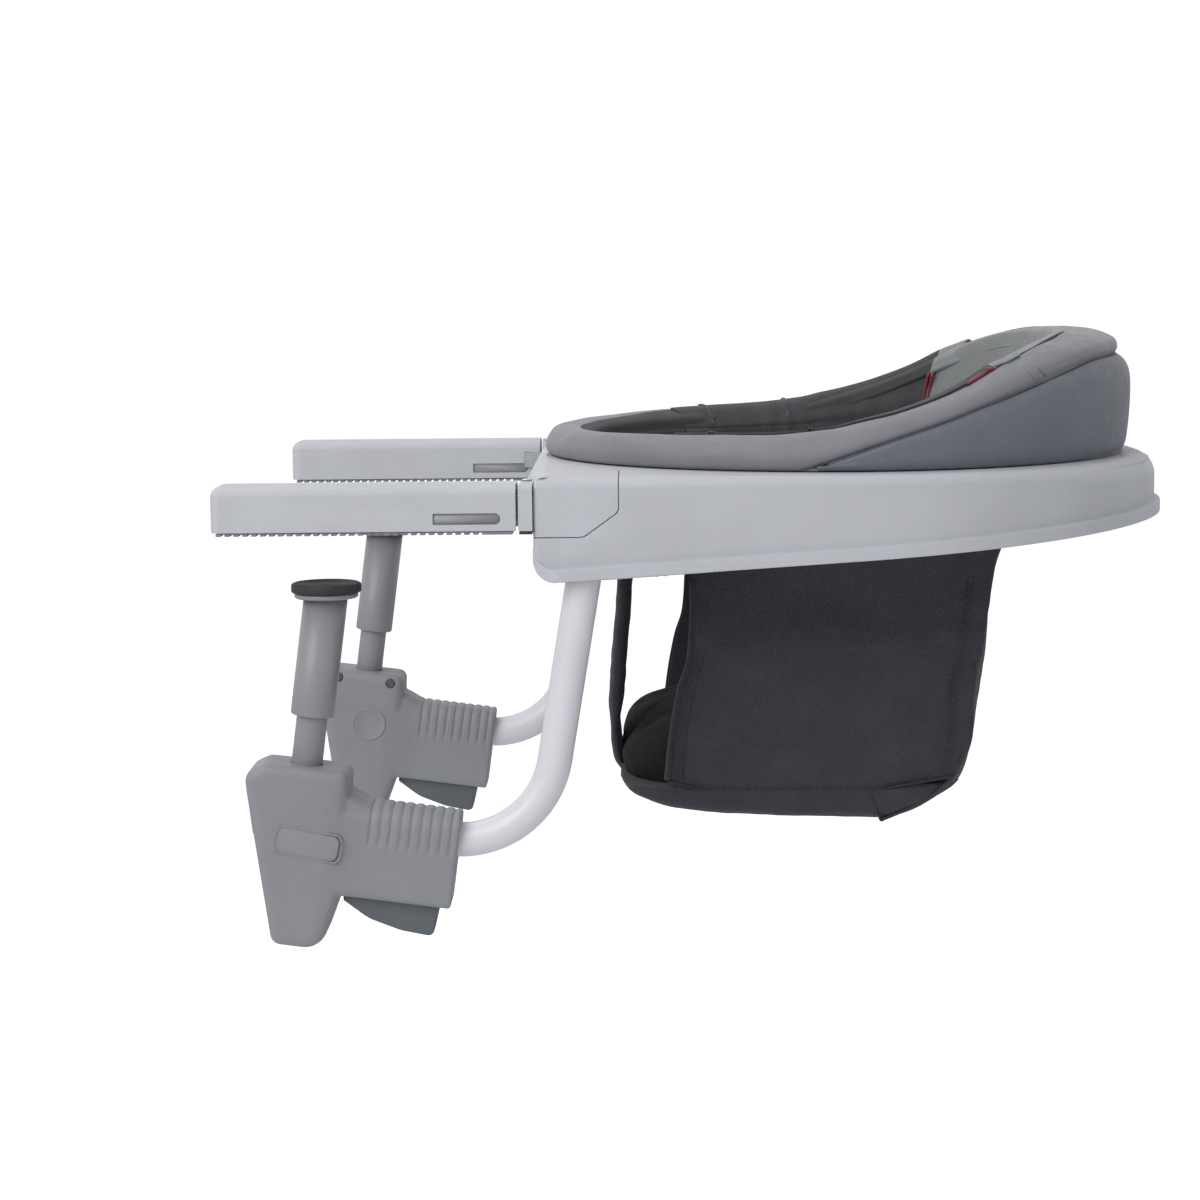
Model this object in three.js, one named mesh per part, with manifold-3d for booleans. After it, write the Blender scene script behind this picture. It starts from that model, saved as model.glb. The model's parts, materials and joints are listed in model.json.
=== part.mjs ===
// Hook-on table chair: a swivelling fabric seat in a ring-shaped base that grips a table top.
// Millimetres, +Z up. The origin lies where the table's top plane meets its front edge, midway
// between the two arms. +X points from the table into the room, -Y is the seated child's left.
import * as THREE from "three";
import { mergeVertices } from "three/addons/utils/BufferGeometryUtils.js";
import Module from "manifold-3d";

const wasm = await Module();
wasm.setup();

// Facets
const ringSides = 48;
const roundSides = 16;
const smallSides = 8;

// Clearances and cutting allowance
const gap = 0.3;
const runningGap = 0.5;
const overrun = 2;

// The table top that the chair holds
const tableThickness = 31;

// Base: a hollow moulded ring with straight sides and a round back
const halfWidth = 225;
const wellMargin = 53;
const seatSetback = 29;
const backInset = 4;
const deckTop = 34.6;
const deckFillet = 6;
const wall = 4;
const bandProud = 4;
const bandHeight = 9.3;
const skirtDepth = 30.3;
const skirtRise = 0.062;
const frontCornerRadius = 16;
const edgeChamfer = 3;
const wellWallBottom = 6.5;
const bulgeReach = 9;
const bulgeBottom = 17;
const bulgeHalfWidth = 106;
const bulgeFlare = 24;
const bulgeRound = 40;

// Cover panel over each arm bracket
const panelLength = 52.7;
const panelLow = 2;
const panelCornerHeight = 13.6;
const panelCornerX = 31;
const panelThickness = 1.8;
const panelArcReach = 25;

// Underside cover
const coverThickness = 2;
const coverLip = 2.5;
const coverLipTop = -1.2;
const coverStep = 1.3;
const coverStepEnd = 142;
const coverRecess = 1;
const coverPlay = 1;

// Steel hoop inside the base and the cast blocks at its ends
const hoopRadius = 8;
const hoopBore = 6.4;
const hoopInset = 26;
const hoopHeight = 17;
const hoopStart = 56;
const blockFront = 16;
const blockBack = 74;
const blockInset = 37.7;
const blockBottom = -24.5;
const blockTop = 27;
const blockWall = 3;
const blockEdge = 4;

// Arms that lie on the table
const armReach = 200;
const armInset = 1;
const armWidth = 35;
const armHeight = 31;
const armFloor = 2.2;
const armRoot = 10.5;
const armTipRadius = 7;
const armShell = 4.4;
const armTopRound = 6.5;
const slotLength = 41.8;
const slotEnd = 20;
const slotHeight = 7;
const slotMid = 9.9;
const slotDepth = 1.4;
const barTopInset = 7.5;
const barWall = 2;
const barPlay = 12;

// Rubber grip under each arm
const toothPitch = 5.5;
const toothWidth = 3.3;
const toothDepth = 1.3;
const gripBase = 1.9;
const gripPlug = 7.2;
const gripLand = 11;

// Fold hinge of each arm
const foldPinX = 4.5;
const foldPinInset = 1;
const barrelRadius = 4.2;
const pinRadius = 2;
const pinPlay = 0.3;
const pinHeadRadius = 3.4;
const pinHeadHeight = 1;
const knuckleTopInset = 9.4;
const knuckleHeight = 11.2;
const neckLength = 9;
const neckTopInset = 0.5;
const neckStep = 7.5;
const neckInset = 1;
const tongueReach = 15.6;
const tongueHalfWidth = 7;
const tongueHalfHeight = 8;
const bumperThickness = 1.7;

// Lower J-tube, its swing axis and its bend
const tubeInset = 22;
const tubeRadius = 11;
const tubeBore = 9.4;
const tubeAxisX = 30.2;
const tubeLean = THREE.MathUtils.degToRad(9.6);
const tubeTop = 22;
const bendTop = -145;
const bendRadius = 60.5;

// Clamp at the end of the J-tube, in its own upright frame
const clampTilt = THREE.MathUtils.degToRad(7.7);
const gripReach = 94.6;
const gripEnd = 101.5;
const gripTop = 24.5;
const gripBottom = -38;
const gripHalf = 18;
const gripCorner = 11;
const headHalf = 22;
const headTop = 42;
const headFront = -34.5;
const headBack = 30.5;
const noseBottom = -77.5;
const headRound = 6;
const clampShell = 3.2;
const ribCount = 9;
const ribPitch = 6.4;
const ribWidth = 1.4;
const ribDepth = 0.9;
const ribFoot = -8;

// Screws that join the clamp's two covers
const screwRadius = 1.8;
const screwHeadRadius = 3.4;
const screwHeadDepth = 2;
const screwLength = 24;
const screwHeight = 31;
const screwFront = -21;
const screwBack = 19;
const bossRadius = 4;

// Clamp rod, its sleeve and its foot
const rodRadius = 9.8;
const rodPlay = 0.4;
const rodBottom = -24;
const sleeveRadius = 13.8;
const sleeveBottom = 67.8;
const padRadius = 22;
const padThickness = 6;
const padRound = 1.5;
const cupRadius = 20;
const cupThickness = 3.5;

// Grip mechanism inside the clamp
const plateThickness = 2.5;
const brakePlateTop = 33;
const brakePlateHalfX = 15.4;
const brakePlateHalfY = 15;
const drivePlateTop = -19.5;
const drivePlateFront = -15;
const drivePlateBack = 46;
const drivePlateHalf = 8.5;
const coilRadius = 12.3;
const coilWire = 1;
const coilTurns = 4;
const coilLow = -14;

// Squeeze lever under the grip
const leverPivotX = 38;
const leverPivotZ = -35;
const leverHalf = 9.5;
const leverTip = 33.2;
const leverEnd = 95;
const leverDepth = 62.3;
const pocketTop = -13.4;
const pocketEnd = 98.2;
const leverPinHalf = 14.5;
const leverNoseDrop = 11;
const leverBellyRise = 6.5;
const leverHeelRise = 1.4;
const leverEndSlope = 2.5;
const leverEndRise = 3;
const leverShoulderRise = 5;
const leverShoulderLength = 12;
const leverTopStart = 1;
const leverTopEnd = 8;

// Release button on the table side of the clamp
const buttonHeight = 17;
const buttonHalf = 7.5;
const buttonProud = 1.8;
const buttonDepth = 6;
const buttonFlange = 2;
const buttonFlangeThickness = 2;
const buttonX = -28.6;
const buttonZ = -3;
const buttonSlope = THREE.MathUtils.degToRad(14.3);

// Seat ring that turns in the base
const neckPlay = 1.2;
const ringWall = 4.8;
const ringLip = 4.7;
const ringLipHeight = 5;
const flangeReach = 23;
const flangeThickness = 2.4;
const upstandSetback = 2.7;
const upstandWall = 2.5;
const notchHalf = 9;
const notchDepth = 4.3;
const notchCount = 4;

// Lock catch that slides into a notch of the seat ring
const catchNoseHalf = 7.5;
const catchNoseHeight = 4.2;
const catchBodyGap = 10;
const catchStemGap = 20;
const catchReach = 40;
const catchStemLength = 10;
const catchStemBottom = -12;

// Padded rim of the seat
const rimOverhang = 5;
const rimLap = 2.8;
const rimBackDepth = 22;
const rimSeamInset = 9;
const rimCrestInset = 13;
const rimFootInset = 4;
const rimFootTuck = 3;
const rimSkirtInset = 0.8;
const rimBackCrestInset = 42;
const rimFrontTop = 54;
const rimBackTop = 118.5;
const seamBackTop = 101.5;
const rimSkirtBottom = 35.4;
const crestShares = [
  [0, 1], [0.139, 0.96], [0.222, 0.884], [0.294, 0.752], [0.333, 0.628], [0.372, 0.481],
  [0.417, 0.341], [0.456, 0.24], [0.5, 0.155], [0.522, 0.109], [0.583, 0.054], [0.667, 0.036],
  [0.833, 0.011], [1, 0],
];
const seamShares = [
  [0, 1], [0.156, 0.99], [0.2, 0.962], [0.25, 0.871], [0.289, 0.766], [0.317, 0.645],
  [0.361, 0.493], [0.406, 0.357], [0.456, 0.236], [0.5, 0.115], [0.539, 0], [1, 0],
];
const sidePanelSweep = THREE.MathUtils.degToRad(90);
const sidePanelBulge = 1.6;
const seamGap = 1.2;

// Backrest pad and the fabric bag
const fabric = 2.4;
const backPadSweep = THREE.MathUtils.degToRad(52.5);
const backPadThickness = 9;
const backPadCrown = 5;
const backPadBottom = -10;
const backPlaneInset = 54;
const bagInset = 36;
const bagFrontTopInset = 63;
const bagFrontBottomInset = 46;
const bagBackTopInset = 71;
const bagBackBottomInset = 93;
const bagKnee = -50;
const bagSeam = -177;
const bagBottom = -199;
const bagFloorFrontInset = 14;
const bagFloorBackInset = 77;
const bagFloorRound = 16;
const bagFloorCurve = 10;
const bagCorner = 28;
const sideFrontAngle = THREE.MathUtils.degToRad(128);
const liningPlay = 0.6;
const liningDrop = 9;
const apronBottom = -10;
const apronPull = 17;
const apronPullHalf = THREE.MathUtils.degToRad(30);
const strapHalf = 38;
const strapThickness = 8;
const strapTopInset = 22.5;
const strapRound = 3;
const strapFoot = -176;
const cushionTop = -127;
const cushionCrown = 8;
const cushionRound = 14;
const cushionEdge = 3;
const cushionFootHeight = 10;
const cushionSideDrop = 18;
const cushionShoulderDrop = 6;
const cushionTopStep = 2;

// Sizes that follow from the ones above
const wellRadius = halfWidth - wellMargin;
const seatX = wellRadius + seatSetback;
const backReach = halfWidth - backInset;
const panelArcRadius = seatX + panelArcReach;
const hoopPath = halfWidth - hoopInset;
const blockInner = halfWidth - blockInset;
const tubeY = halfWidth - tubeInset;
const armOuter = halfWidth - armInset;
const armInner = armOuter - armWidth;
const foldPinY = armInner + foldPinInset;
const neckInner = armInner + neckStep;
const neckRadius = wellRadius - neckPlay;
const ringInner = neckRadius - ringWall;
const ringLipRadius = neckRadius + ringLip;
const upstandInner = neckRadius + upstandSetback;
const upstandOuter = upstandInner + upstandWall;
const flangeRadius = wellRadius + flangeReach;
const catchBodyStart = wellRadius + catchBodyGap;
const catchStemStart = wellRadius + catchStemGap;
const catchTail = wellRadius + catchReach;
const rimOuter = flangeRadius + rimOverhang;
const rimInner = neckRadius - rimLap;
const rimBackInner = rimInner - rimBackDepth;
const rimBackSeam = rimOuter - rimSeamInset;
const rimCrest = rimOuter - rimCrestInset;
const rimBackCrest = rimOuter - rimBackCrestInset;
const liningRadius = ringInner - liningPlay;
const backPlane = ringInner - backPlaneInset;
const bagHalf = ringInner - bagInset;
const bagFrontTop = seatX - ringInner + bagFrontTopInset;
const bagFrontBottom = seatX - ringInner + bagFrontBottomInset;
const bagBackTop = seatX + ringInner - bagBackTopInset;
const bagBackBottom = seatX + ringInner - bagBackBottomInset;
const bagFloorFront = seatX - ringInner + bagFloorFrontInset;
const bagFloorBack = seatX + ringInner - bagFloorBackInset;
const strapTopX = seatX - ringInner + strapTopInset;
const strapFootX = bagFloorFront;
const barTop = armHeight - barTopInset;
const knuckleHigh = armHeight - knuckleTopInset;
const knuckleLow = knuckleHigh - knuckleHeight;
const neckTop = armHeight - neckTopInset;
const tongueHeight = knuckleHigh - knuckleHeight / 2;
const wallHalf = halfWidth - bandProud;
const wallBack = backReach - bandProud;
const foldAxisX = -foldPinX;
const headWidth = headBack - headFront;
const flangeBottom = deckTop + runningGap;
const flangeTop = flangeBottom + flangeThickness;
const padSeat = flangeTop + gap;
const barInner = armInner + armShell + gap;
const barOuter = armOuter - armShell - gap;
const tubeAxisZ = -skirtDepth - overrun;

// The J-tube's centre line in its own vertical plane, top to bottom
const leanDirection = new THREE.Vector2(-Math.sin(tubeLean), -Math.cos(tubeLean));
const alongLean = (height) =>
  tubeAxisX + (height - tubeAxisZ) * Math.tan(tubeLean);
const bendStart = new THREE.Vector2(alongLean(bendTop), bendTop);
const bendCentre = new THREE.Vector2(
  bendStart.x + bendRadius * leanDirection.y,
  bendStart.y - bendRadius * leanDirection.x,
);
const bendEnd = new THREE.Vector2(
  bendCentre.x - bendRadius * Math.sin(clampTilt),
  bendCentre.y - bendRadius * Math.cos(clampTilt),
);
const clampX = bendEnd.x - gripReach * Math.cos(clampTilt);
const clampZ = bendEnd.y + gripReach * Math.sin(clampTilt);

// Materials
function finish(color, roughness, metalness = 0) {
  return () => new THREE.MeshStandardMaterial({ color, roughness, metalness });
}
const palePlastic = finish(0xb9babf, 0.55);
const greyPlastic = finish(0x8c8c92, 0.6);
const leverPlastic = finish(0x5b656c, 0.55);
const paintedTube = finish(0xcdcdd2, 0.35, 0.1);
const rodPaint = finish(0x96969b, 0.4, 0.1);
const bareSteel = finish(0xa9abad, 0.3, 0.9);
const castMetal = finish(0x9c9ea1, 0.5, 0.7);
const blackRubber = finish(0x2b2c2e, 0.85);
const rimLeather = finish(0x84858c, 0.6);
const sideLeather = finish(0x5c6166, 0.65);
const padLeather = finish(0x6a6c6b, 0.7);
const blackCloth = finish(0x333539, 0.95);
const liningCloth = finish(0x373839, 0.9);

// Solids from three.js geometry and back
function turnedOutward(positions, faces) {
  let volume = 0;
  const a = new THREE.Vector3();
  const b = new THREE.Vector3();
  const c = new THREE.Vector3();
  for (let i = 0; i < faces.length; i += 3) {
    a.fromArray(positions, faces[i] * 3);
    b.fromArray(positions, faces[i + 1] * 3);
    c.fromArray(positions, faces[i + 2] * 3);
    volume += a.dot(b.cross(c));
  }
  if (volume < 0) {
    for (let i = 0; i < faces.length; i += 3) {
      [faces[i + 1], faces[i + 2]] = [faces[i + 2], faces[i + 1]];
    }
  }
  return faces;
}

function solidOf(geometry) {
  const bare = geometry.clone();
  bare.deleteAttribute("normal");
  bare.deleteAttribute("uv");
  const merged = mergeVertices(bare, 1e-4);
  const vertProperties = new Float32Array(merged.attributes.position.array);
  const all = merged.index.array;
  const kept = [];
  for (let i = 0; i < all.length; i += 3) {
    if (all[i] !== all[i + 1] && all[i + 1] !== all[i + 2] && all[i] !== all[i + 2]) {
      kept.push(all[i], all[i + 1], all[i + 2]);
    }
  }
  const triVerts = new Uint32Array(turnedOutward(vertProperties, kept));
  return new wasm.Manifold(new wasm.Mesh({ numProp: 3, vertProperties, triVerts }));
}

function geometryOf(solid) {
  const mesh = solid.getMesh();
  const count = mesh.numProp;
  const positions = new Float32Array(mesh.numVert * 3);
  for (let i = 0; i < mesh.numVert; i += 1) {
    positions.set(mesh.vertProperties.subarray(i * count, i * count + 3), i * 3);
  }
  const geometry = new THREE.BufferGeometry();
  geometry.setAttribute("position", new THREE.BufferAttribute(positions, 3));
  geometry.setIndex(new THREE.BufferAttribute(new Uint32Array(mesh.triVerts), 1));
  geometry.computeVertexNormals();
  return geometry;
}

const joined = (first, ...rest) => rest.reduce((sum, next) => sum.add(next), first);
const without = (first, ...rest) => rest.reduce((left, next) => left.subtract(next), first);
const shared = (first, ...rest) => rest.reduce((left, next) => left.intersect(next), first);

// Faces of a flat cap over an outline, turned as its points run
function capOf(outline) {
  const flat = outline.map(([x, y]) => new THREE.Vector2(x, y));
  const turn = Math.sign(THREE.ShapeUtils.area(flat));
  return THREE.ShapeUtils.triangulateShape(flat, []).map(([a, b, c]) => {
    const area = THREE.ShapeUtils.area([flat[a], flat[b], flat[c]]);
    return area * turn > 0 ? [a, b, c] : [a, c, b];
  });
}

// Faces of a cap that joins opposite points of a long thin outline
function stripCap(count) {
  return spread(0, count / 2 - 2, count / 2 - 2).flatMap((i) => [
    [i, i + 1, count - 2 - i],
    [i, count - 2 - i, count - 1 - i],
  ]);
}

// A closed surface through rows of points; the last row joins the first, or both ends are capped
function loft(rows, cap = null) {
  const count = rows[0].length;
  const positions = rows.flat().flatMap((point) => point.toArray());
  const faces = [];
  const last = cap ? rows.length - 1 : rows.length;
  for (let i = 0; i < last; i += 1) {
    const next = ((i + 1) % rows.length) * count;
    for (let j = 0; j < count; j += 1) {
      const k = (j + 1) % count;
      faces.push(i * count + j, i * count + k, next + k);
      faces.push(i * count + j, next + k, next + j);
    }
  }
  const end = (rows.length - 1) * count;
  for (const [a, b, c] of cap || []) {
    faces.push(a, c, b, end + a, end + b, end + c);
  }
  const geometry = new THREE.BufferGeometry();
  geometry.setAttribute("position", new THREE.Float32BufferAttribute(positions, 3));
  geometry.setIndex(faces);
  return solidOf(geometry);
}

// A prism of an outline, along the axis that the outline leaves out
function prism(outline, axis, from, to) {
  const shape = new THREE.Shape(outline.map(([u, v]) => new THREE.Vector2(u, v)));
  const geometry = new THREE.ExtrudeGeometry(shape, { depth: to - from, bevelEnabled: false });
  if (axis === "z") geometry.translate(0, 0, from);
  if (axis === "y") geometry.rotateX(Math.PI / 2).translate(0, to, 0);
  if (axis === "x") {
    const turn = new THREE.Matrix4().makeBasis(
      new THREE.Vector3(0, 1, 0),
      new THREE.Vector3(0, 0, 1),
      new THREE.Vector3(1, 0, 0),
    );
    geometry.applyMatrix4(turn).translate(from, 0, 0);
  }
  return solidOf(geometry);
}

function block(x0, x1, y0, y1, z0, z1) {
  const geometry = new THREE.BoxGeometry(x1 - x0, y1 - y0, z1 - z0);
  geometry.translate((x0 + x1) / 2, (y0 + y1) / 2, (z0 + z1) / 2);
  return solidOf(geometry);
}

// A round bar between two points
function bar(radius, start, end, sides = roundSides) {
  const along = new THREE.Vector3().subVectors(end, start);
  const geometry = new THREE.CylinderGeometry(radius, radius, along.length(), sides);
  const turn = new THREE.Quaternion().setFromUnitVectors(
    new THREE.Vector3(0, 1, 0),
    along.clone().normalize(),
  );
  geometry.applyQuaternion(turn);
  const middle = start.clone().add(end).multiplyScalar(0.5);
  geometry.translate(middle.x, middle.y, middle.z);
  return solidOf(geometry);
}

const upright = (radius, x, y, z0, z1, sides) =>
  bar(radius, new THREE.Vector3(x, y, z0), new THREE.Vector3(x, y, z1), sides);
const across = (radius, x, z, y0, y1, sides) =>
  bar(radius, new THREE.Vector3(x, y0, z), new THREE.Vector3(x, y1, z), sides);

// A turned solid about a vertical axis, from [radius, height] points
function turned(profile, x, y, sides) {
  const points = profile.map(([radius, height]) => new THREE.Vector2(radius, height));
  const geometry = new THREE.LatheGeometry([...points, points[0]], sides);
  geometry.rotateX(Math.PI / 2).scale(1, -1, 1).translate(x, y, 0);
  return solidOf(geometry);
}

// An outline of corners, each rounded by its own radius and drawn in by an inset
function roundedOutline(x0, x1, y0, y1, radii, inset = 0, steps = 3) {
  const corners = [
    [x1, y1, 1, 1, 0], [x0, y1, -1, 1, 1], [x0, y0, -1, -1, 2], [x1, y0, 1, -1, 3],
  ];
  const outline = [];
  corners.forEach(([x, y, sx, sy, quarter], index) => {
    const radius = Math.max(radii[index] - inset, radii[index] / 4);
    const cx = x - sx * (radius + inset);
    const cy = y - sy * (radius + inset);
    for (let i = 0; i <= steps; i += 1) {
      const angle = ((quarter + i / steps) * Math.PI) / 2;
      outline.push([cx + radius * Math.cos(angle), cy + radius * Math.sin(angle)]);
    }
  });
  return outline;
}

// An outline drawn in by an inset that differs from level to level, along x, y or z
function stacked(outlineAt, levels, axis) {
  const place = {
    z: ([u, v], w) => new THREE.Vector3(u, v, w),
    y: ([u, v], w) => new THREE.Vector3(u, w, v),
    x: ([u, v], w) => new THREE.Vector3(w, u, v),
  }[axis];
  const rows = levels.map(([level, inset]) => outlineAt(inset).map((p) => place(p, level)));
  return loft(rows, capOf(outlineAt(levels[0][1])));
}

// An outline of [x, y, radius] corners, each rounded, with all its edges moved in by an inset
function roundedPolygon(corners, inset = 0, steps = 2) {
  const count = corners.length;
  const points = corners.map(([x, y]) => new THREE.Vector2(x, y));
  const turn = Math.sign(THREE.ShapeUtils.area(points));
  const edges = points.map((point, i) => {
    const along = points[(i + 1) % count].clone().sub(point).normalize();
    const inward = new THREE.Vector2(-along.y, along.x).multiplyScalar(turn);
    return { along, inward, from: point.clone().addScaledVector(inward, inset) };
  });
  return corners.flatMap(([, , radius], i) => {
    const before = edges[(i + count - 1) % count];
    const after = edges[i];
    const sine = before.along.cross(after.along);
    const reach = after.from.clone().sub(before.from).cross(after.along) / sine;
    const corner = before.from.clone().addScaledVector(before.along, reach);
    const bend = Math.atan2(sine, before.along.dot(after.along));
    const convex = Math.sign(bend * turn);
    const round = Math.max(radius - convex * inset, radius / 4);
    const start = corner.addScaledVector(before.along, -round * Math.tan(Math.abs(bend) / 2));
    const centre = start.clone().addScaledVector(before.inward, convex * round);
    return spread(0, bend, steps).map((angle) =>
      start.clone().rotateAround(centre, angle).toArray(),
    );
  });
}

function shareAt(shares, place) {
  for (let i = 1; i < shares.length; i += 1) {
    const [from, low] = shares[i - 1];
    const [to, high] = shares[i];
    if (place <= to) return low + ((high - low) * (place - from)) / (to - from);
  }
  return shares[shares.length - 1][1];
}

const mixed = (from, to, share) => from + (to - from) * share;
const polar = (radius, angle, height) =>
  new THREE.Vector3(
    seatX + radius * Math.cos(angle),
    radius * Math.sin(angle),
    height,
  );

// Rows of a ring about the seat's axis, from a section of [radius, height] points at each angle
function ringRows(sectionAt, angles) {
  return angles.map((angle) =>
    sectionAt(angle).map(([radius, height]) => polar(radius, angle, height)),
  );
}

function spread(from, to, count) {
  return Array.from({ length: count + 1 }, (_, i) => mixed(from, to, i / count));
}

// How far the base's wall lies from the seat's axis, for a wall drawn in by an inset
function baseReach(angle, inset = 0) {
  const sideways = Math.abs(Math.sin(angle));
  const along = Math.cos(angle);
  if (along > 0) {
    const a = wallBack - inset;
    const b = wallHalf - inset;
    return (a * b) / Math.hypot(b * along, a * sideways);
  }
  const side = (wallHalf - inset) / Math.max(sideways, 1e-6);
  const front = (seatX - inset) / Math.max(-along, 1e-6);
  return Math.min(side, front);
}

const baseAngles = (() => {
  const corner = Math.atan2(wallHalf - edgeChamfer, -seatX);
  const side = Math.atan2(wallHalf, -seatX + edgeChamfer);
  const stepAngle = (x, shift) => Math.atan2(wallHalf, x - seatX) + shift;
  const tiny = THREE.MathUtils.degToRad(0.3);
  const half = [
    ...spread(0, Math.PI / 2, 11).slice(1),
    stepAngle(coverStepEnd, -tiny),
    stepAngle(coverStepEnd, tiny),
    stepAngle(mixed(panelLength, coverStepEnd, 0.5), 0),
    stepAngle(panelLength, 0),
    side,
    corner,
    ...spread(corner, Math.PI, 5).slice(1, -1),
  ];
  return [0, ...half, Math.PI, ...half.slice().reverse().map((angle) => -angle)];
})();

const skirtAt = (x) => -skirtDepth + skirtRise * (Math.max(x, frontCornerRadius) - frontCornerRadius);

// Outer form of the base without its hollow, drawn in by an inset
function baseBody(inset) {
  const top = deckTop - inset;
  const round = Math.max(deckFillet - inset, edgeChamfer / 2);
  const diagonal = round * (1 - Math.SQRT1_2);
  const rows = ringRows((angle) => {
    const reach = baseReach(angle, inset);
    const x = seatX + reach * Math.cos(angle);
    const bottom = skirtAt(x) - (inset > 0 ? overrun * 2 : 0);
    const proud = inset > 0 ? gap : bandProud * Math.min(Math.max(x / frontCornerRadius, 0.1), 1);
    return [
      [wellRadius - overrun, bottom],
      [reach + proud, bottom],
      [reach + proud, bottom + bandHeight - bandProud / 2],
      [reach, bottom + bandHeight],
      [reach, top - round],
      [reach - diagonal, top - diagonal],
      [reach - round, top],
      [wellRadius - overrun, top],
    ];
  }, baseAngles);
  return loft(rows);
}

// Region behind the rounded lower front corner
function cornerRegion(inset) {
  const radius = frontCornerRadius - inset;
  const outline = [[seatX * 3, deckTop * 3], [inset, deckTop * 3]];
  for (const angle of spread(Math.PI, (Math.PI * 3) / 2, 5)) {
    outline.push([
      frontCornerRadius + radius * Math.cos(angle),
      -skirtDepth + frontCornerRadius + radius * Math.sin(angle),
    ]);
  }
  outline.push([frontCornerRadius, -skirtDepth * 3], [seatX * 3, -skirtDepth * 3]);
  return prism(outline, "y", -halfWidth * 2, halfWidth * 2);
}

// The ring's front, which stands over the table between the arms
function frontBulge() {
  const flared = bulgeHalfWidth + bulgeFlare;
  const back = wall / 2;
  const outlineAt = (inset) =>
    roundedPolygon(
      [
        [back, flared - inset, gap], [0, flared - inset, gap],
        [-bulgeReach + inset, bulgeHalfWidth, bulgeRound],
        [-bulgeReach + inset, -bulgeHalfWidth, bulgeRound],
        [0, -flared + inset, gap], [back, -flared + inset, gap],
      ],
      0,
      4,
    );
  const low = bulgeBottom;
  const body = stacked(
    outlineAt,
    [[low, 0], [deckTop - edgeChamfer, 0], [deckTop, edgeChamfer]],
    "z",
  );
  const hollow = stacked(outlineAt, [[low - overrun, wall], [deckTop - wall, wall]], "z");
  return without(body, without(hollow, block(0, wall, -flared, flared, 0, deckTop)));
}

// Where the cover panel of one side lies on the base, widened by a play
function panelRegion(play) {
  const outline = [
    [-overrun, deckTop + overrun], [panelLength + play, deckTop + overrun],
    [panelLength + play, panelCornerHeight - play / 2],
    [panelCornerX + play / 2, -panelLow - play], [-overrun, -panelLow - play],
  ];
  const slab = prism(outline, "y", 0, halfWidth + overrun);
  const core = turned(
    [
      [0, -deckTop * 2], [panelArcRadius - play, -deckTop * 2],
      [panelArcRadius - play, deckTop * 2], [0, deckTop * 2],
    ],
    seatX, 0, ringSides,
  );
  return without(slab, core);
}

const mirrorOf = (solid, side) =>
  side > 0 ? solid : solidOf(geometryOf(solid).scale(1, -1, 1));

function bracketSlot(play) {
  const mid = (neckInner + armOuter) / 2;
  return block(
    -overrun, tongueReach + play, mid - tongueHalfWidth - play, mid + tongueHalfWidth + play,
    tongueHeight - tongueHalfHeight - play, tongueHeight + tongueHalfHeight + play,
  );
}

function baseShell() {
  const hollowTop = deckTop - wall;
  const cavity = shared(baseBody(wall), cornerRegion(wall), block(
    wall, seatX * 3, -halfWidth, halfWidth, -skirtDepth * 2, hollowTop,
  ));
  const wellWall = turned(
    [
      [wellRadius, wellWallBottom], [wellRadius + wall, wellWallBottom],
      [wellRadius + wall, deckTop], [wellRadius, deckTop],
    ],
    seatX, 0, ringSides,
  );
  const well = turned(
    [
      [0, -deckTop * 3], [wellRadius, -deckTop * 3], [wellRadius, deckTop * 2],
      [0, deckTop * 2],
    ],
    seatX, 0, ringSides,
  );
  const filled = shared(baseBody(0), cornerRegion(0));
  const hollow = without(cavity, wellWall);
  let shell = without(joined(filled, frontBulge()), hollow, well);
  const recess = without(panelRegion(gap), baseBody(panelThickness + gap));
  for (const side of [-1, 1]) {
    shell = without(shell, mirrorOf(recess, side), mirrorOf(bracketSlot(gap), side));
  }
  return shell;
}

function coverPanel() {
  const skin = without(baseBody(0), baseBody(panelThickness));
  return without(shared(skin, panelRegion(0)), bracketSlot(gap));
}

function underCover() {
  const depthAt = (x) =>
    x < coverStepEnd
      ? skirtAt(x) - mixed(coverStep, coverStep / 2, Math.min(Math.max(x / coverStepEnd, 0), 1))
      : skirtAt(x) + coverRecess;
  const inner = wellRadius + wall + coverPlay;
  const rows = ringRows((angle) => {
    const reach = baseReach(angle, wall + runningGap);
    const low = depthAt(seatX + reach * Math.cos(angle));
    return [
      [inner, low], [reach, low], [reach, low + coverThickness],
      [inner + coverLip, low + coverThickness], [inner + coverLip, coverLipTop],
      [inner, coverLipTop],
    ];
  }, baseAngles);
  const region = block(
    frontCornerRadius + gap, seatX * 3, -halfWidth, halfWidth, -skirtDepth * 2, deckTop,
  );
  let cover = shared(loft(rows), region);
  for (const side of [-1, 1]) {
    cover = without(cover, swingBar(tubeRadius + coverPlay, side, -skirtDepth * 2, blockBottom));
  }
  const slot = block(
    seatX + catchStemStart - notchDepth - runningGap, seatX + catchStemStart + catchStemLength + gap,
    -catchNoseHalf - gap, catchNoseHalf + gap, -skirtDepth, wellWallBottom,
  );
  const mouth = block(
    seatX + wellRadius, seatX + catchBodyStart + overrun, -catchNoseHalf - gap,
    catchNoseHalf + gap, coverLipTop - overrun, wellWallBottom,
  );
  return without(cover, slot, mouth);
}

// A bar on the J-tube's swing axis between two heights
function swingBar(radius, side, low, high, sides = roundSides) {
  return bar(
    radius,
    new THREE.Vector3(alongLean(low), side * tubeY, low),
    new THREE.Vector3(alongLean(high), side * tubeY, high),
    sides,
  );
}

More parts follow.
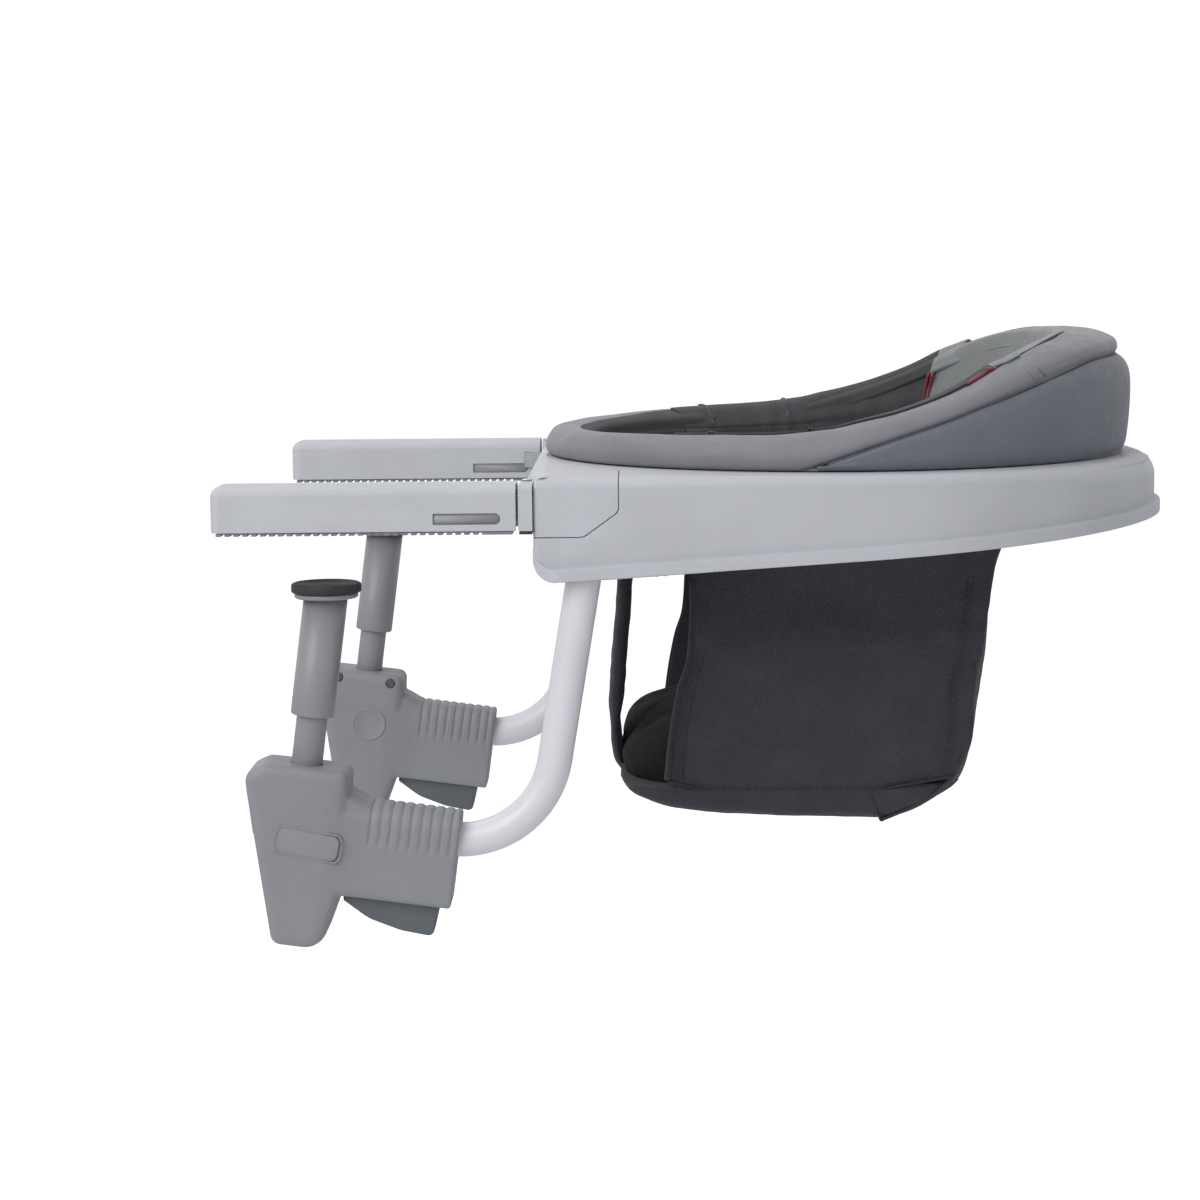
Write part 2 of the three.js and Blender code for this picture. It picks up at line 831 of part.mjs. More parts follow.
// A tube of given radii along a path, with its bore open at both ends
function pipe(path, radius, bore, steps, sides) {
  const circle = (size, count) =>
    spread(0, Math.PI * 2, count)
      .slice(1)
      .map((angle) => new THREE.Vector2(size * Math.cos(angle), size * Math.sin(angle)));
  const shape = new THREE.Shape(circle(radius, sides));
  if (bore) shape.holes.push(new THREE.Path(circle(bore, sides / 2)));
  const geometry = new THREE.ExtrudeGeometry(shape, {
    steps,
    bevelEnabled: false,
    extrudePath: path,
  });
  return solidOf(geometry);
}

class HoopCurve extends THREE.Curve {
  // Straight along one side, round the back and straight along the other side
  getPoint(t) {
    const straight = seatX - hoopStart;
    const round = Math.PI * hoopPath;
    const s = t * (straight * 2 + round);
    if (s < straight) return new THREE.Vector3(seatX - straight + s, -hoopPath, hoopHeight);
    if (s > straight + round) {
      return new THREE.Vector3(seatX - (s - straight - round), hoopPath, hoopHeight);
    }
    const angle = (s - straight) / hoopPath - Math.PI / 2;
    return polar(hoopPath, angle, hoopHeight);
  }
}

class TubeCurve extends THREE.Curve {
  constructor(side) {
    super();
    this.side = side;
    this.upper = (tubeTop - bendTop) / Math.cos(tubeLean);
    this.turn = Math.PI / 2 - tubeLean + clampTilt;
    this.round = bendRadius * this.turn;
    this.lower = gripReach - leverPivotX;
  }

  // Down the swing axis, round the bend and into the clamp's grip
  getPoint(t) {
    const s = t * (this.upper + this.round + this.lower);
    const y = this.side * tubeY;
    if (s <= this.upper) {
      const height = mixed(tubeTop, bendTop, s / this.upper);
      return new THREE.Vector3(alongLean(height), y, height);
    }
    const bent = (s - this.upper) / bendRadius;
    if (bent <= this.turn) {
      const angle = tubeLean + bent;
      return new THREE.Vector3(
        bendCentre.x + bendRadius * Math.cos(angle),
        y,
        bendCentre.y - bendRadius * Math.sin(angle),
      );
    }
    const past = s - this.upper - this.round;
    return new THREE.Vector3(
      bendEnd.x - past * Math.cos(clampTilt),
      y,
      bendEnd.y + past * Math.sin(clampTilt),
    );
  }
}

function hingeBlock() {
  const outline = roundedOutline(
    blockFront, blockBack, blockInner, wallHalf - wall - gap,
    [blockEdge, blockEdge, blockEdge, blockEdge], 0, 2,
  );
  const body = prism(outline, "z", blockBottom, blockTop);
  const tubeHole = swingBar(tubeRadius + gap, 1, blockBottom - overrun, tubeTop + gap * 2);
  const hoopHole = bar(
    hoopRadius + gap,
    new THREE.Vector3(hoopStart - gap, hoopPath, hoopHeight),
    new THREE.Vector3(blockBack + overrun, hoopPath, hoopHeight),
  );
  return without(body, tubeHole, hoopHole);
}

// Parts of one arm, for the side where Y is positive
function armCover() {
  const radii = [overrun, armTipRadius, armTipRadius, overrun];
  const outlineAt = (inset) =>
    roundedOutline(-armReach, -armRoot, armInner, armOuter, radii, inset);
  const body = stacked(
    outlineAt,
    [
      [armFloor, 0], [armHeight - armTopRound, 0], [armHeight - armTopRound / 2, armTopRound / 7],
      [armHeight - armTopRound / 7, armTopRound / 2], [armHeight, armTopRound],
    ],
    "z",
  );
  const cavity = block(
    -armReach + armShell, -armRoot - overrun, armInner + armShell, armOuter - armShell,
    0, barTop + gap,
  );
  const rootNotch = block(
    -armRoot - barPlay - gap, 0, armInner - overrun, barInner + overrun,
    knuckleLow - gap, knuckleHigh + gap,
  );
  const slot = (y0, y1) => {
    const half = slotHeight / 2;
    const from = -slotEnd - slotLength;
    const body = block(from, -slotEnd - half, y0, y1, slotMid - half, slotMid + half);
    return joined(body, across(half, -slotEnd - half, slotMid, y0, y1, smallSides));
  };
  return without(
    body, cavity, rootNotch,
    slot(armInner - overrun, armInner + slotDepth),
    slot(armOuter - slotDepth, armOuter + overrun),
  );
}

function armBar() {
  const start = -armReach + armShell + gap;
  const end = -armRoot - overrun - gap;
  const low = gripPlug + gap;
  const beam = block(start, end, barInner, barOuter, low, barTop);
  const core = block(
    start - overrun, end - barPlay, barInner + barWall, barOuter - barWall,
    low + barWall, barTop - barWall,
  );
  const web = block(
    -armRoot - barPlay, foldAxisX, foldPinY - barrelRadius, barInner + barPlay,
    knuckleLow, knuckleHigh,
  );
  const neckClear = block(
    end, 0, foldPinY + barrelRadius, armOuter, 0, armHeight,
  );
  const barrel = upright(barrelRadius, foldAxisX, foldPinY, knuckleLow, knuckleHigh);
  const hole = upright(pinRadius + pinPlay, foldAxisX, foldPinY, 0, armHeight, smallSides);
  return without(joined(without(beam, core), without(web, neckClear), barrel), hole);
}

function armGrip() {
  const start = -armReach + armTipRadius / 2;
  const end = -armRoot - overrun;
  const outline = [[end, 0], [end, gripBase], [start, gripBase], [start, 0]];
  const count = Math.floor((end - gripLand - start - toothWidth) / toothPitch);
  for (let i = 0; i < count; i += 1) {
    const x = start + toothWidth + i * toothPitch;
    outline.push([x, 0], [x, toothDepth]);
    outline.push([x + toothPitch - toothWidth, toothDepth], [x + toothPitch - toothWidth, 0]);
  }
  const teeth = prism(outline, "y", armInner + slotDepth, armOuter - slotDepth);
  const plug = block(
    -armReach + armShell + gap, end - gap, barInner, barOuter,
    gripBase - gap, gripPlug,
  );
  return joined(teeth, plug);
}

function armBracket() {
  const face = -gap;
  const radii = [edgeChamfer, edgeChamfer, gap, gap];
  const outline = roundedOutline(
    neckInner, armOuter - neckInset, bumperThickness + gap, neckTop, radii, 0, 2,
  );
  const neck = prism(outline, "x", -neckLength, face);
  const lug = (z0, z1) =>
    joined(
      block(foldAxisX - barrelRadius, face, foldPinY, neckInner + overrun, z0, z1),
      upright(barrelRadius, foldAxisX, foldPinY, z0, z1),
    );
  const lower = lug(bumperThickness + gap, knuckleLow - gap);
  const upper = lug(knuckleHigh + gap, neckTop);
  const hole = upright(pinRadius + pinPlay, foldAxisX, foldPinY, 0, armHeight, smallSides);
  return without(joined(neck, lower, upper, bracketSlot(0)), hole);
}

function foldPin() {
  const low = bumperThickness + gap;
  return joined(
    upright(pinRadius, foldAxisX, foldPinY, low - pinHeadHeight, neckTop + gap * 2, smallSides),
    upright(pinHeadRadius, foldAxisX, foldPinY, neckTop + gap, neckTop + gap + pinHeadHeight, smallSides),
    upright(pinHeadRadius, foldAxisX, foldPinY, low - gap - pinHeadHeight, low - gap, smallSides),
  );
}

function edgeBumper() {
  return block(
    -neckLength + runningGap, -gap, neckInner, armOuter - neckInset, 0, bumperThickness,
  );
}

// Parts of one clamp in its own upright frame: X along the grip, Z along the rod
const headCorners = [
  [headBack, headTop, headRound], [headFront + headWidth * 0.22, headTop, headRound],
  [headFront, headTop - headWidth * 0.19, headRound],
  [headFront + headWidth * 0.02, headTop - headWidth * 0.4, headRound * 2],
  [headFront + headWidth * 0.41, noseBottom, headRound],
  [headFront + headWidth * 0.89, noseBottom, headRound * 2.4],
  [headBack + overrun, gripBottom, headRound / 4],
];

function clampBody() {
  const half = headHalf;
  const round = headRound;
  const head = stacked(
    (inset) => roundedPolygon(headCorners, inset),
    [
      [-half, round * 0.6], [-half + round * 0.3, round * 0.2], [-half + round, 0],
      [half - round, 0], [half - round * 0.3, round * 0.2], [half, round * 0.6],
    ],
    "y",
  );
  const radii = [gripCorner, gripCorner, gripCorner / 2, gripCorner / 2];
  const outlineAt = (inset) =>
    roundedOutline(-gripHalf, gripHalf, gripBottom, gripTop, radii, inset, 2);
  const grip = stacked(
    outlineAt,
    [[0, 0], [gripEnd - edgeChamfer / 2, 0], [gripEnd, edgeChamfer / 3]],
    "x",
  );
  return joined(head, grip);
}

function clampRibs() {
  const radii = [gripCorner, gripCorner, gripCorner / 2, gripCorner / 2];
  const outline = roundedOutline(-gripHalf, gripHalf, gripBottom, gripTop, radii, ribDepth, 2);
  const core = prism(outline, "x", 0, gripEnd * 2);
  const grooves = Array.from({ length: ribCount }, (_, i) => {
    const x = gripEnd - (i + 0.75) * ribPitch;
    return block(x - ribWidth / 2, x + ribWidth / 2, -headHalf, headHalf, ribFoot, headTop);
  });
  return grooves.map((groove) => without(groove, core));
}

function clampShells() {
  const coreHalf = headHalf - clampShell;
  const headCore = prism(roundedPolygon(headCorners, clampShell, 1), "y", -coreHalf, coreHalf);
  const tubeHole = bar(
    tubeRadius + gap,
    new THREE.Vector3(leverPivotX - runningGap, 0, 0),
    new THREE.Vector3(gripEnd + overrun, 0, 0),
  );
  const mouth = bar(
    tubeRadius + gap * 4,
    new THREE.Vector3(gripReach - overrun, 0, 0),
    new THREE.Vector3(gripEnd + overrun, 0, 0),
  );
  const rodHole = upright(rodRadius + rodPlay, 0, 0, 0, headTop + overrun);
  const pocket = block(
    0, pocketEnd, -leverHalf - runningGap, leverHalf + runningGap,
    gripBottom - overrun, pocketTop,
  );
  const pinHole = across(
    pinRadius + pinPlay, leverPivotX, leverPivotZ, -leverPinHalf - gap, leverPinHalf + gap, smallSides,
  );
  let body = without(clampBody(), headCore);
  const boss = (x) =>
    across(bossRadius, x, screwHeight, -headHalf + gap * 5, headHalf - gap * 5, smallSides);
  body = joined(body, boss(screwFront), boss(screwBack));
  for (const x of [screwFront, screwBack]) {
    const shank = across(screwRadius + gap, x, screwHeight, -headHalf * 2, screwLength - headHalf, smallSides);
    const counterbore = across(
      screwHeadRadius + gap, x, screwHeight, -headHalf * 2, -headHalf + screwHeadDepth + gap, smallSides,
    );
    body = without(body, shank, counterbore);
  }
  body = without(body, tubeHole, mouth, rodHole, pocket, pinHole, buttonBlock(gap, 0), ...clampRibs());
  const all = gripEnd * 2;
  return {
    outer: shared(body, block(-all, all, gap / 2, all, -all, all)),
    inner: shared(body, block(-all, all, -all, -gap / 2, -all, all)),
  };
}

// The release button's block, or with a play its window in the covers
function buttonBlock(play, flange) {
  const half = buttonHeight / 2 + flange + play;
  const width = buttonHalf + flange + play;
  const out = flange ? -buttonDepth + buttonFlangeThickness : buttonProud + (play ? overrun : 0);
  const geometry = new THREE.BoxGeometry(out + buttonDepth, width * 2, half * 2);
  geometry.translate(-(out - buttonDepth) / 2, 0, 0);
  geometry.rotateY(-buttonSlope).translate(buttonX, 0, buttonZ);
  return solidOf(geometry);
}

const releaseButton = () => joined(buttonBlock(0, 0), buttonBlock(0, buttonFlange));

function clampScrew(x) {
  const face = -headHalf + screwHeadDepth;
  return joined(
    across(screwRadius, x, screwHeight, face - gap, screwLength - headHalf - gap, smallSides),
    across(screwHeadRadius, x, screwHeight, face - screwHeadDepth + gap, face, smallSides),
  );
}

function rod(footHeight) {
  return upright(rodRadius, 0, 0, rodBottom, footHeight);
}

function springCoil() {
  const rise = brakePlateTop - plateThickness - coilLow - coilWire * 2 - gap * 2;
  class Coil extends THREE.Curve {
    getPoint(t) {
      const angle = t * coilTurns * Math.PI * 2;
      return new THREE.Vector3(
        coilRadius * Math.cos(angle),
        coilRadius * Math.sin(angle),
        coilLow + coilWire + rise * t,
      );
    }
  }
  return pipe(new Coil(), coilWire, 0, coilTurns * 9, 6);
}

function brakePlate() {
  const plate = block(
    -brakePlateHalfX, screwBack - bossRadius - gap, -brakePlateHalfY, brakePlateHalfY,
    brakePlateTop - plateThickness, brakePlateTop,
  );
  return without(plate, upright(rodRadius + rodPlay, 0, 0, 0, headTop));
}

function drivePlate() {
  const wide = block(
    drivePlateFront, -drivePlateFront, drivePlateFront, -drivePlateFront,
    drivePlateTop - plateThickness, drivePlateTop,
  );
  const tail = block(
    0, drivePlateBack, -drivePlateHalf, drivePlateHalf,
    drivePlateTop - plateThickness, drivePlateTop,
  );
  return without(joined(wide, tail), upright(rodRadius + rodPlay, 0, 0, gripBottom, headTop));
}

function squeezeLever() {
  const top = drivePlateTop - plateThickness - gap * 2;
  const low = -leverDepth;
  const corner = edgeChamfer / 2;
  const outline = [
    [leverTip, leverPivotZ - leverNoseDrop, corner],
    [mixed(leverTip, leverEnd, 0.28), low + leverBellyRise, corner],
    [mixed(leverTip, leverEnd, 0.62), low + leverHeelRise, corner],
    [leverEnd - leverEndSlope, low, edgeChamfer],
    [leverEnd, gripBottom + leverEndRise, corner],
    [leverPivotX + leverShoulderLength, gripBottom + leverShoulderRise, corner],
    [leverPivotX + leverTopEnd, top, corner], [leverPivotX + leverTopStart, top, corner],
    [leverTip, leverPivotZ, corner],
  ];
  const round = edgeChamfer / 2;
  const body = stacked(
    (inset) => roundedPolygon(outline, inset, 1),
    [[-leverHalf, round / 2], [-leverHalf + round, 0], [leverHalf - round, 0], [leverHalf, round / 2]],
    "y",
  );
  const hole = across(pinRadius + pinPlay, leverPivotX, leverPivotZ, -headHalf, headHalf, smallSides);
  return without(body, hole);
}

const leverPin = () =>
  across(pinRadius, leverPivotX, leverPivotZ, -leverPinHalf, leverPinHalf, smallSides);

// Foot of the rod, in the chair's own frame: its top lies flat against the table's underside
function footCentreX() {
  const height = (-tableThickness - padThickness - clampZ) / Math.cos(clampTilt);
  return clampX + height * Math.sin(clampTilt);
}

function footPad() {
  const low = -tableThickness - padThickness;
  const rim = padRadius - padRound;
  return turned(
    [
      [0, low], [padRadius, low], [padRadius, -tableThickness - padRound],
      [rim, -tableThickness], [0, -tableThickness],
    ],
    footCentreX(), tubeY, roundSides + smallSides,
  );
}

// The sleeve over the rod with the cup that carries the pad, in the chair's own frame
function footSleeve() {
  const top = -tableThickness - padThickness - gap;
  const cup = upright(cupRadius, footCentreX(), tubeY, top - cupThickness, top, roundSides + smallSides);
  const lean = (height) => new THREE.Vector3(
    clampX + height * Math.sin(clampTilt),
    tubeY,
    clampZ + height * Math.cos(clampTilt),
  );
  const reach = (top - cupThickness / 2 - clampZ) / Math.cos(clampTilt);
  const sleeve = bar(sleeveRadius, lean(sleeveBottom), lean(reach));
  const bore = bar(rodRadius + gap, lean(0), lean(reach - cupThickness * 3));
  const above = block(-armReach, 0, 0, halfWidth, top, 0);
  return without(joined(sleeve, cup), bore, above);
}

// Seat: the ring that turns, its padding and the bag
const crestAt = (angle) =>
  mixed(rimFrontTop, rimBackTop, shareAt(crestShares, Math.abs(angle) / Math.PI));
const seamAt = (angle) =>
  mixed(rimSkirtBottom, seamBackTop, shareAt(seamShares, Math.abs(angle) / Math.PI));
// How much of the backrest's form applies: all at the back, none from the sides forward
const backAt = (angle) =>
  1 - THREE.MathUtils.smoothstep(Math.abs(angle), Math.PI / 18, Math.PI / 2);
const rimInnerAt = (angle) => mixed(rimInner, rimBackInner, backAt(angle));

function ringAngles(count) {
  return spread(-Math.PI, Math.PI, count).slice(0, -1);
}

function seatRing() {
  const lipTop = ringLipHeight;
  const ring = turned(
    [
      [ringInner, 0], [ringLipRadius, 0], [ringLipRadius, lipTop], [neckRadius, lipTop],
      [neckRadius, flangeBottom], [flangeRadius, flangeBottom], [flangeRadius, flangeTop],
      [ringInner, flangeTop],
    ],
    seatX, 0, ringSides,
  );
  const sweep = sidePanelSweep;
  const section = (angle) => {
    const top = Math.max(seamAt(angle) - seamGap, flangeTop + gap);
    return [
      [upstandInner, flangeBottom + gap], [upstandOuter, flangeBottom + gap],
      [upstandOuter, top], [upstandInner, top],
    ];
  };
  const upstand = loft(ringRows(section, spread(-sweep, sweep, 24)), capOf(section(sweep)));
  let body = joined(ring, upstand);
  for (let i = 0; i < notchCount; i += 1) {
    const notch = new THREE.BoxGeometry(notchDepth * 2, notchHalf * 2, lipTop * 3);
    notch.translate(ringLipRadius, 0, 0);
    notch.rotateZ((i * Math.PI * 2) / notchCount).translate(seatX, 0, 0);
    body = without(body, solidOf(notch));
  }
  return body;
}

function rimPad() {
  const section = (angle) => {
    const back = backAt(angle);
    const seam = seamAt(angle);
    const crest = crestAt(angle);
    const low = Math.max(padSeat, seam);
    const outer = mixed(rimOuter, rimBackSeam, back);
    const inner = rimInnerAt(angle);
    const top = mixed(rimCrest, rimBackCrest, back);
    const tall = crest - low;
    const width = outer - inner;
    return [
      [inner + width * 0.04, low],
      [mixed(flangeRadius + gap, outer - rimFootInset, back), low],
      [
        mixed(flangeRadius + gap * 2, outer - rimFootTuck, back),
        seam > padSeat ? low : rimSkirtBottom,
      ],
      [outer - rimSkirtInset, Math.max(rimSkirtBottom, seam) + tall * 0.1],
      [outer, low + tall * 0.3],
      [outer - width * 0.06, low + tall * 0.62],
      [mixed(outer, top, 0.45), low + tall * 0.88],
      [top, crest],
      [mixed(inner, top, 0.5), crest - tall * 0.07],
      [inner + width * 0.03, crest - tall * 0.28],
      [inner - gap * 2, crest - tall * 0.6],
    ];
  };
  return loft(ringRows(section, ringAngles(48)));
}

function sidePanel() {
  const section = (angle) => {
    const top = seamAt(angle) - seamGap;
    const outer = mixed(rimOuter, rimOuter - 0.5, backAt(angle));
    const edge = mixed(rimOuter, rimBackSeam + 2, backAt(angle)) - 1.5;
    const tall = top - padSeat;
    return [
      [upstandOuter + gap, padSeat], [flangeRadius + gap, padSeat],
      [flangeRadius + gap * 2, rimSkirtBottom + gap], [outer - 1.4, rimSkirtBottom + gap * 2],
      [outer, padSeat + tall * 0.12], [outer + sidePanelBulge * backAt(angle) * 0.6, padSeat + tall * 0.5],
      [outer, padSeat + tall * 0.86], [edge, top], [upstandOuter + gap, top],
    ];
  };
  const sweep = sidePanelSweep;
  return loft(ringRows(section, spread(-sweep, sweep, 24)), capOf(section(sweep)));
}

// Where the backrest's rear face lies at a height, as a distance from the seat's axis
function backFace(angle, height) {
  const flat = backPlane / Math.cos(angle);
  const low = Math.min(flat, liningRadius - gap);
  const share = THREE.MathUtils.clamp((height - backPadBottom) / (padSeat - backPadBottom), 0, 1);
  return mixed(low, liningRadius - gap, share * mixed(0.55, 1, Math.abs(angle) / backPadSweep));
}

function backPad() {
  const section = (angle) => {
    const top = seamAt(angle) - seamGap;
    const edge = Math.pow(Math.abs(angle) / backPadSweep, 4);
    const crown = backPadCrown * (1 - edge);
    const thick = mixed(backPadThickness, fabric * 2, edge);
    const behind = [backFace(angle, backPadBottom), backFace(angle, padSeat)];
    const inner = rimInnerAt(angle) - 1;
    return [
      [behind[0] - thick, backPadBottom], [behind[0], backPadBottom],
      [behind[1], padSeat], [upstandInner - gap * 4, mixed(padSeat, top, 0.45)],
      [upstandInner - gap * 4, top], [inner, top],
      [mixed(behind[1] - thick, inner, 0.66) - crown, mixed(padSeat, top, 0.66)],
      [mixed(behind[1] - thick, inner, 0.33) - crown, mixed(padSeat, top, 0.33)],
      [behind[1] - thick - crown, padSeat],
      [mixed(behind[0], behind[1], 0.5) - thick - crown, mixed(backPadBottom, padSeat, 0.5)],
    ];
  };
  const sweep = backPadSweep;
  return loft(ringRows(section, spread(-sweep, sweep, 14)), capOf(section(sweep)));
}

// A sheet of even thickness: rows of points from top to bottom, drawn in towards the seat's axis
function sheet(rows, thickness = fabric) {
  const centre = new THREE.Vector3(seatX, 0, 0);
  const drawn = (point) => {
    const inward = centre.clone().sub(point).setZ(0).normalize();
    return point.clone().addScaledVector(inward, thickness);
  };
  const closed = rows.map((row) => [...row, ...row.map(drawn).reverse()]);
  return loft(closed, stripCap(closed[0].length));
}

function bagSide() {
  const from = sideFrontAngle;
  const to = backPadSweep + gap / liningRadius;
  const steps = 9;
  const arc = (radiusAt, heightAt) =>
    spread(from, to, steps).map((angle) => polar(radiusAt(angle), angle, heightAt(angle)));
  const line = (x0, x1, height) =>
    spread(x0, x1, steps).map((x) => new THREE.Vector3(x, bagHalf, height));
  const frontAt = (height) =>
    mixed(bagFrontTop, bagFrontBottom, (height - bagKnee) / (bagSeam - bagKnee));
  const backAtHeight = (height) =>
    mixed(bagBackTop, bagBackBottom, (height - bagKnee) / (bagSeam - bagKnee));
  const middle = mixed(bagKnee, bagSeam, 0.5);
  const rows = [
    arc((angle) => rimInnerAt(angle) - gap * 7, (angle) => crestAt(angle) - liningDrop),
    arc(() => liningRadius, () => padSeat),
    arc(() => liningRadius, () => 0),
    line(frontAt(bagKnee), backAtHeight(bagKnee), bagKnee),
    line(frontAt(middle), backAtHeight(middle), middle),
    line(frontAt(bagSeam), backAtHeight(bagSeam), bagSeam),
  ];
  return sheet(rows);
}

function bagBack() {
  const steps = 8;
  const sweep = backPadSweep - 0.02;
  const top = backPadBottom - gap;
  const upper = spread(-sweep, sweep, steps).map((angle) => {
    const reach = Math.min(backPlane / Math.cos(angle), liningRadius - gap);
    return polar(reach, angle, top);
  });
  const row = (height, backX) => {
    const half = bagHalf - fabric - gap;
    return spread(-half, half, steps).map(
      (y) => new THREE.Vector3(backX + fabric * 2 * (1 - (y / half) ** 2), y, height),
    );
  };
  return sheet([
    upper,
    row(bagKnee, bagBackTop - fabric),
    row(mixed(bagKnee, bagSeam, 0.5), mixed(bagBackTop, bagBackBottom, 0.5) - fabric),
    row(bagSeam, bagBackBottom - fabric),
  ]);
}

function frontApron() {
  const from = sideFrontAngle + 0.006;
  const angles = spread(from, Math.PI * 2 - from, 16);
  const pull = (angle) =>
    apronPull * Math.max(0, 1 - ((angle - Math.PI) / apronPullHalf) ** 2);
  return sheet([
    angles.map((angle) => polar(liningRadius + gap, angle, padSeat + liningDrop / 2)),
    angles.map((angle) => polar(liningRadius, angle, padSeat)),
    angles.map((angle) => polar(liningRadius - pull(angle), angle, apronBottom)),
  ]);
}

function crotchPanel() {
  const top = apronBottom - gap;
  const outlineAt = (x) =>
    roundedOutline(x, x + strapThickness, -strapHalf, strapHalf, Array(4).fill(strapRound), 0, 2);
  const rows = spread(0, 1, 4).map((share) =>
    outlineAt(mixed(strapTopX - strapThickness, strapFootX - strapThickness, share)).map(
      ([x, y]) => new THREE.Vector3(x, y, mixed(top, strapFoot, share)),
    ),
  );
  return loft(rows, capOf(outlineAt(0)));
}

function seatCushion() {
  const front = strapFootX + gap * 5;
  const back = bagBackBottom - fabric * 2 - gap * 4;
  const half = bagHalf - fabric - gap;
  const radii = Array(4).fill(bagCorner / 2);
  const outlineAt = (inset) => roundedOutline(front, back, -half, half, radii, inset, 3);
  const top = cushionTop - cushionCrown;
  return stacked(
    outlineAt,
    [
      [bagSeam + gap, cushionEdge], [bagSeam + cushionFootHeight, 0], [top - cushionSideDrop, 0],
      [top - cushionShoulderDrop, cushionEdge], [top, cushionRound],
      [cushionTop - cushionTopStep, cushionRound * 2.5], [cushionTop, cushionRound * 4.5],
    ],
    "z",
  );
}

function bagFloor() {
  const radii = Array(4).fill(bagCorner);
  const outlineAt = (inset) =>
    roundedOutline(bagFloorFront, bagFloorBack, -bagHalf, bagHalf, radii, inset, 4);
  return stacked(
    outlineAt,
    [
      [bagBottom, bagFloorRound], [bagBottom + bagFloorCurve * 0.3, bagFloorRound / 2.5],
      [bagBottom + bagFloorCurve, bagFloorRound / 16], [bagSeam - gap, 0],
    ],
    "z",
  );
}

function lockCatch() {
  const nose = block(
    seatX + ringLipRadius + runningGap, seatX + catchBodyStart, -catchNoseHalf, catchNoseHalf,
    runningGap, runningGap + catchNoseHeight,
  );
  const low = skirtAt(seatX + catchTail) + coverRecess + coverThickness + gap;
  const body = block(
    seatX + catchBodyStart - gap, seatX + catchTail, -catchNoseHalf, catchNoseHalf,
    low, runningGap + catchNoseHeight,
  );
  const stem = block(
    seatX + catchStemStart, seatX + catchStemStart + catchStemLength, -catchNoseHalf,
    catchNoseHalf, catchStemBottom, low + gap,
  );
  return joined(nose, body, stem);
}

// Assembly
const chair = new THREE.Group();

function add(parent, name, solid, material) {
  const mesh = new THREE.Mesh(geometryOf(solid), material());
  mesh.name = name;
  parent.add(mesh);
}

function addBase() {
  const group = new THREE.Group();
  add(group, "base_shell", baseShell(), palePlastic);
  add(group, "under_cover", underCover(), palePlastic);
  add(group, "frame_hoop", pipe(new HoopCurve(), hoopRadius, hoopBore, 24, 8), bareSteel);
  add(group, "swivel_lock_catch", lockCatch(), greyPlastic);
  chair.add(group);
}

function addArm(side, name) {
  const group = new THREE.Group();
  const pieces = [
    ["arm_cover", armCover(), palePlastic], ["arm_bar", armBar(), bareSteel],
    ["arm_grip", armGrip(), blackRubber], ["arm_bracket", armBracket(), palePlastic],
    ["arm_fold_pin", foldPin(), bareSteel], ["edge_bumper", edgeBumper(), blackRubber],
    ["bracket_cover", coverPanel(), palePlastic], ["hinge_block", hingeBlock(), castMetal],
  ];
  for (const [piece, solid, material] of pieces) {
    add(group, `${piece}_${name}`, mirrorOf(solid, side), material);
  }
  chair.add(group);
}

function addClamp(side, name) {
  add(chair, `j_tube_${name}`, pipe(new TubeCurve(side), tubeRadius, tubeBore, 18, 12), paintedTube);
  add(chair, `foot_sleeve_${name}`, mirrorOf(footSleeve(), side), rodPaint);
  add(chair, `foot_pad_${name}`, mirrorOf(footPad(), side), blackRubber);
  const group = new THREE.Group();
  group.position.set(clampX, side * tubeY, clampZ);
  group.rotation.y = clampTilt;
  const shells = clampShells();
  const top = -tableThickness - padThickness - cupThickness * 2;
  const rodTop = (top - clampZ) / Math.cos(clampTilt) - cupThickness * 2;
  const pieces = [
    ["clamp_cover_outer", shells.outer, greyPlastic], ["clamp_cover_inner", shells.inner, greyPlastic],
    ["clamp_screw_front", clampScrew(screwFront), bareSteel],
    ["clamp_screw_back", clampScrew(screwBack), bareSteel],
    ["clamp_rod", rod(rodTop), rodPaint], ["clamp_spring", springCoil(), bareSteel],
    ["brake_plate", brakePlate(), bareSteel], ["drive_plate", drivePlate(), bareSteel],
    ["squeeze_lever", squeezeLever(), leverPlastic], ["lever_pin", leverPin(), bareSteel],
    ["release_button", releaseButton(), greyPlastic],
  ];
  for (const [piece, solid, material] of pieces) {
    add(group, `${piece}_${name}`, mirrorOf(solid, side), material);
  }
  chair.add(group);
}

function addSeat() {
  const group = new THREE.Group();
  add(group, "seat_ring", seatRing(), greyPlastic);
  add(group, "rim_pad", rimPad(), rimLeather);
  add(group, "side_panel", sidePanel(), sideLeather);
  add(group, "backrest_pad", backPad(), padLeather);
  add(group, "bag_side_right", bagSide(), blackCloth);
  add(group, "bag_side_left", mirrorOf(bagSide(), -1), blackCloth);
  add(group, "bag_back", bagBack(), blackCloth);
  add(group, "front_apron", frontApron(), liningCloth);
  add(group, "crotch_panel", crotchPanel(), blackCloth);
  add(group, "seat_cushion", seatCushion(), blackCloth);
  add(group, "bag_floor", bagFloor(), blackCloth);
  chair.add(group);
}

addBase();
for (const [side, name] of [[-1, "left"], [1, "right"]]) {
  addArm(side, name);
  addClamp(side, name);
}
addSeat();

export default chair;
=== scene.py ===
"""Looks of a hook-on table chair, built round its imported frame. Lengths are in millimetres."""

import json
import math

import bmesh
import bpy
from mathutils import Matrix, Vector, noise

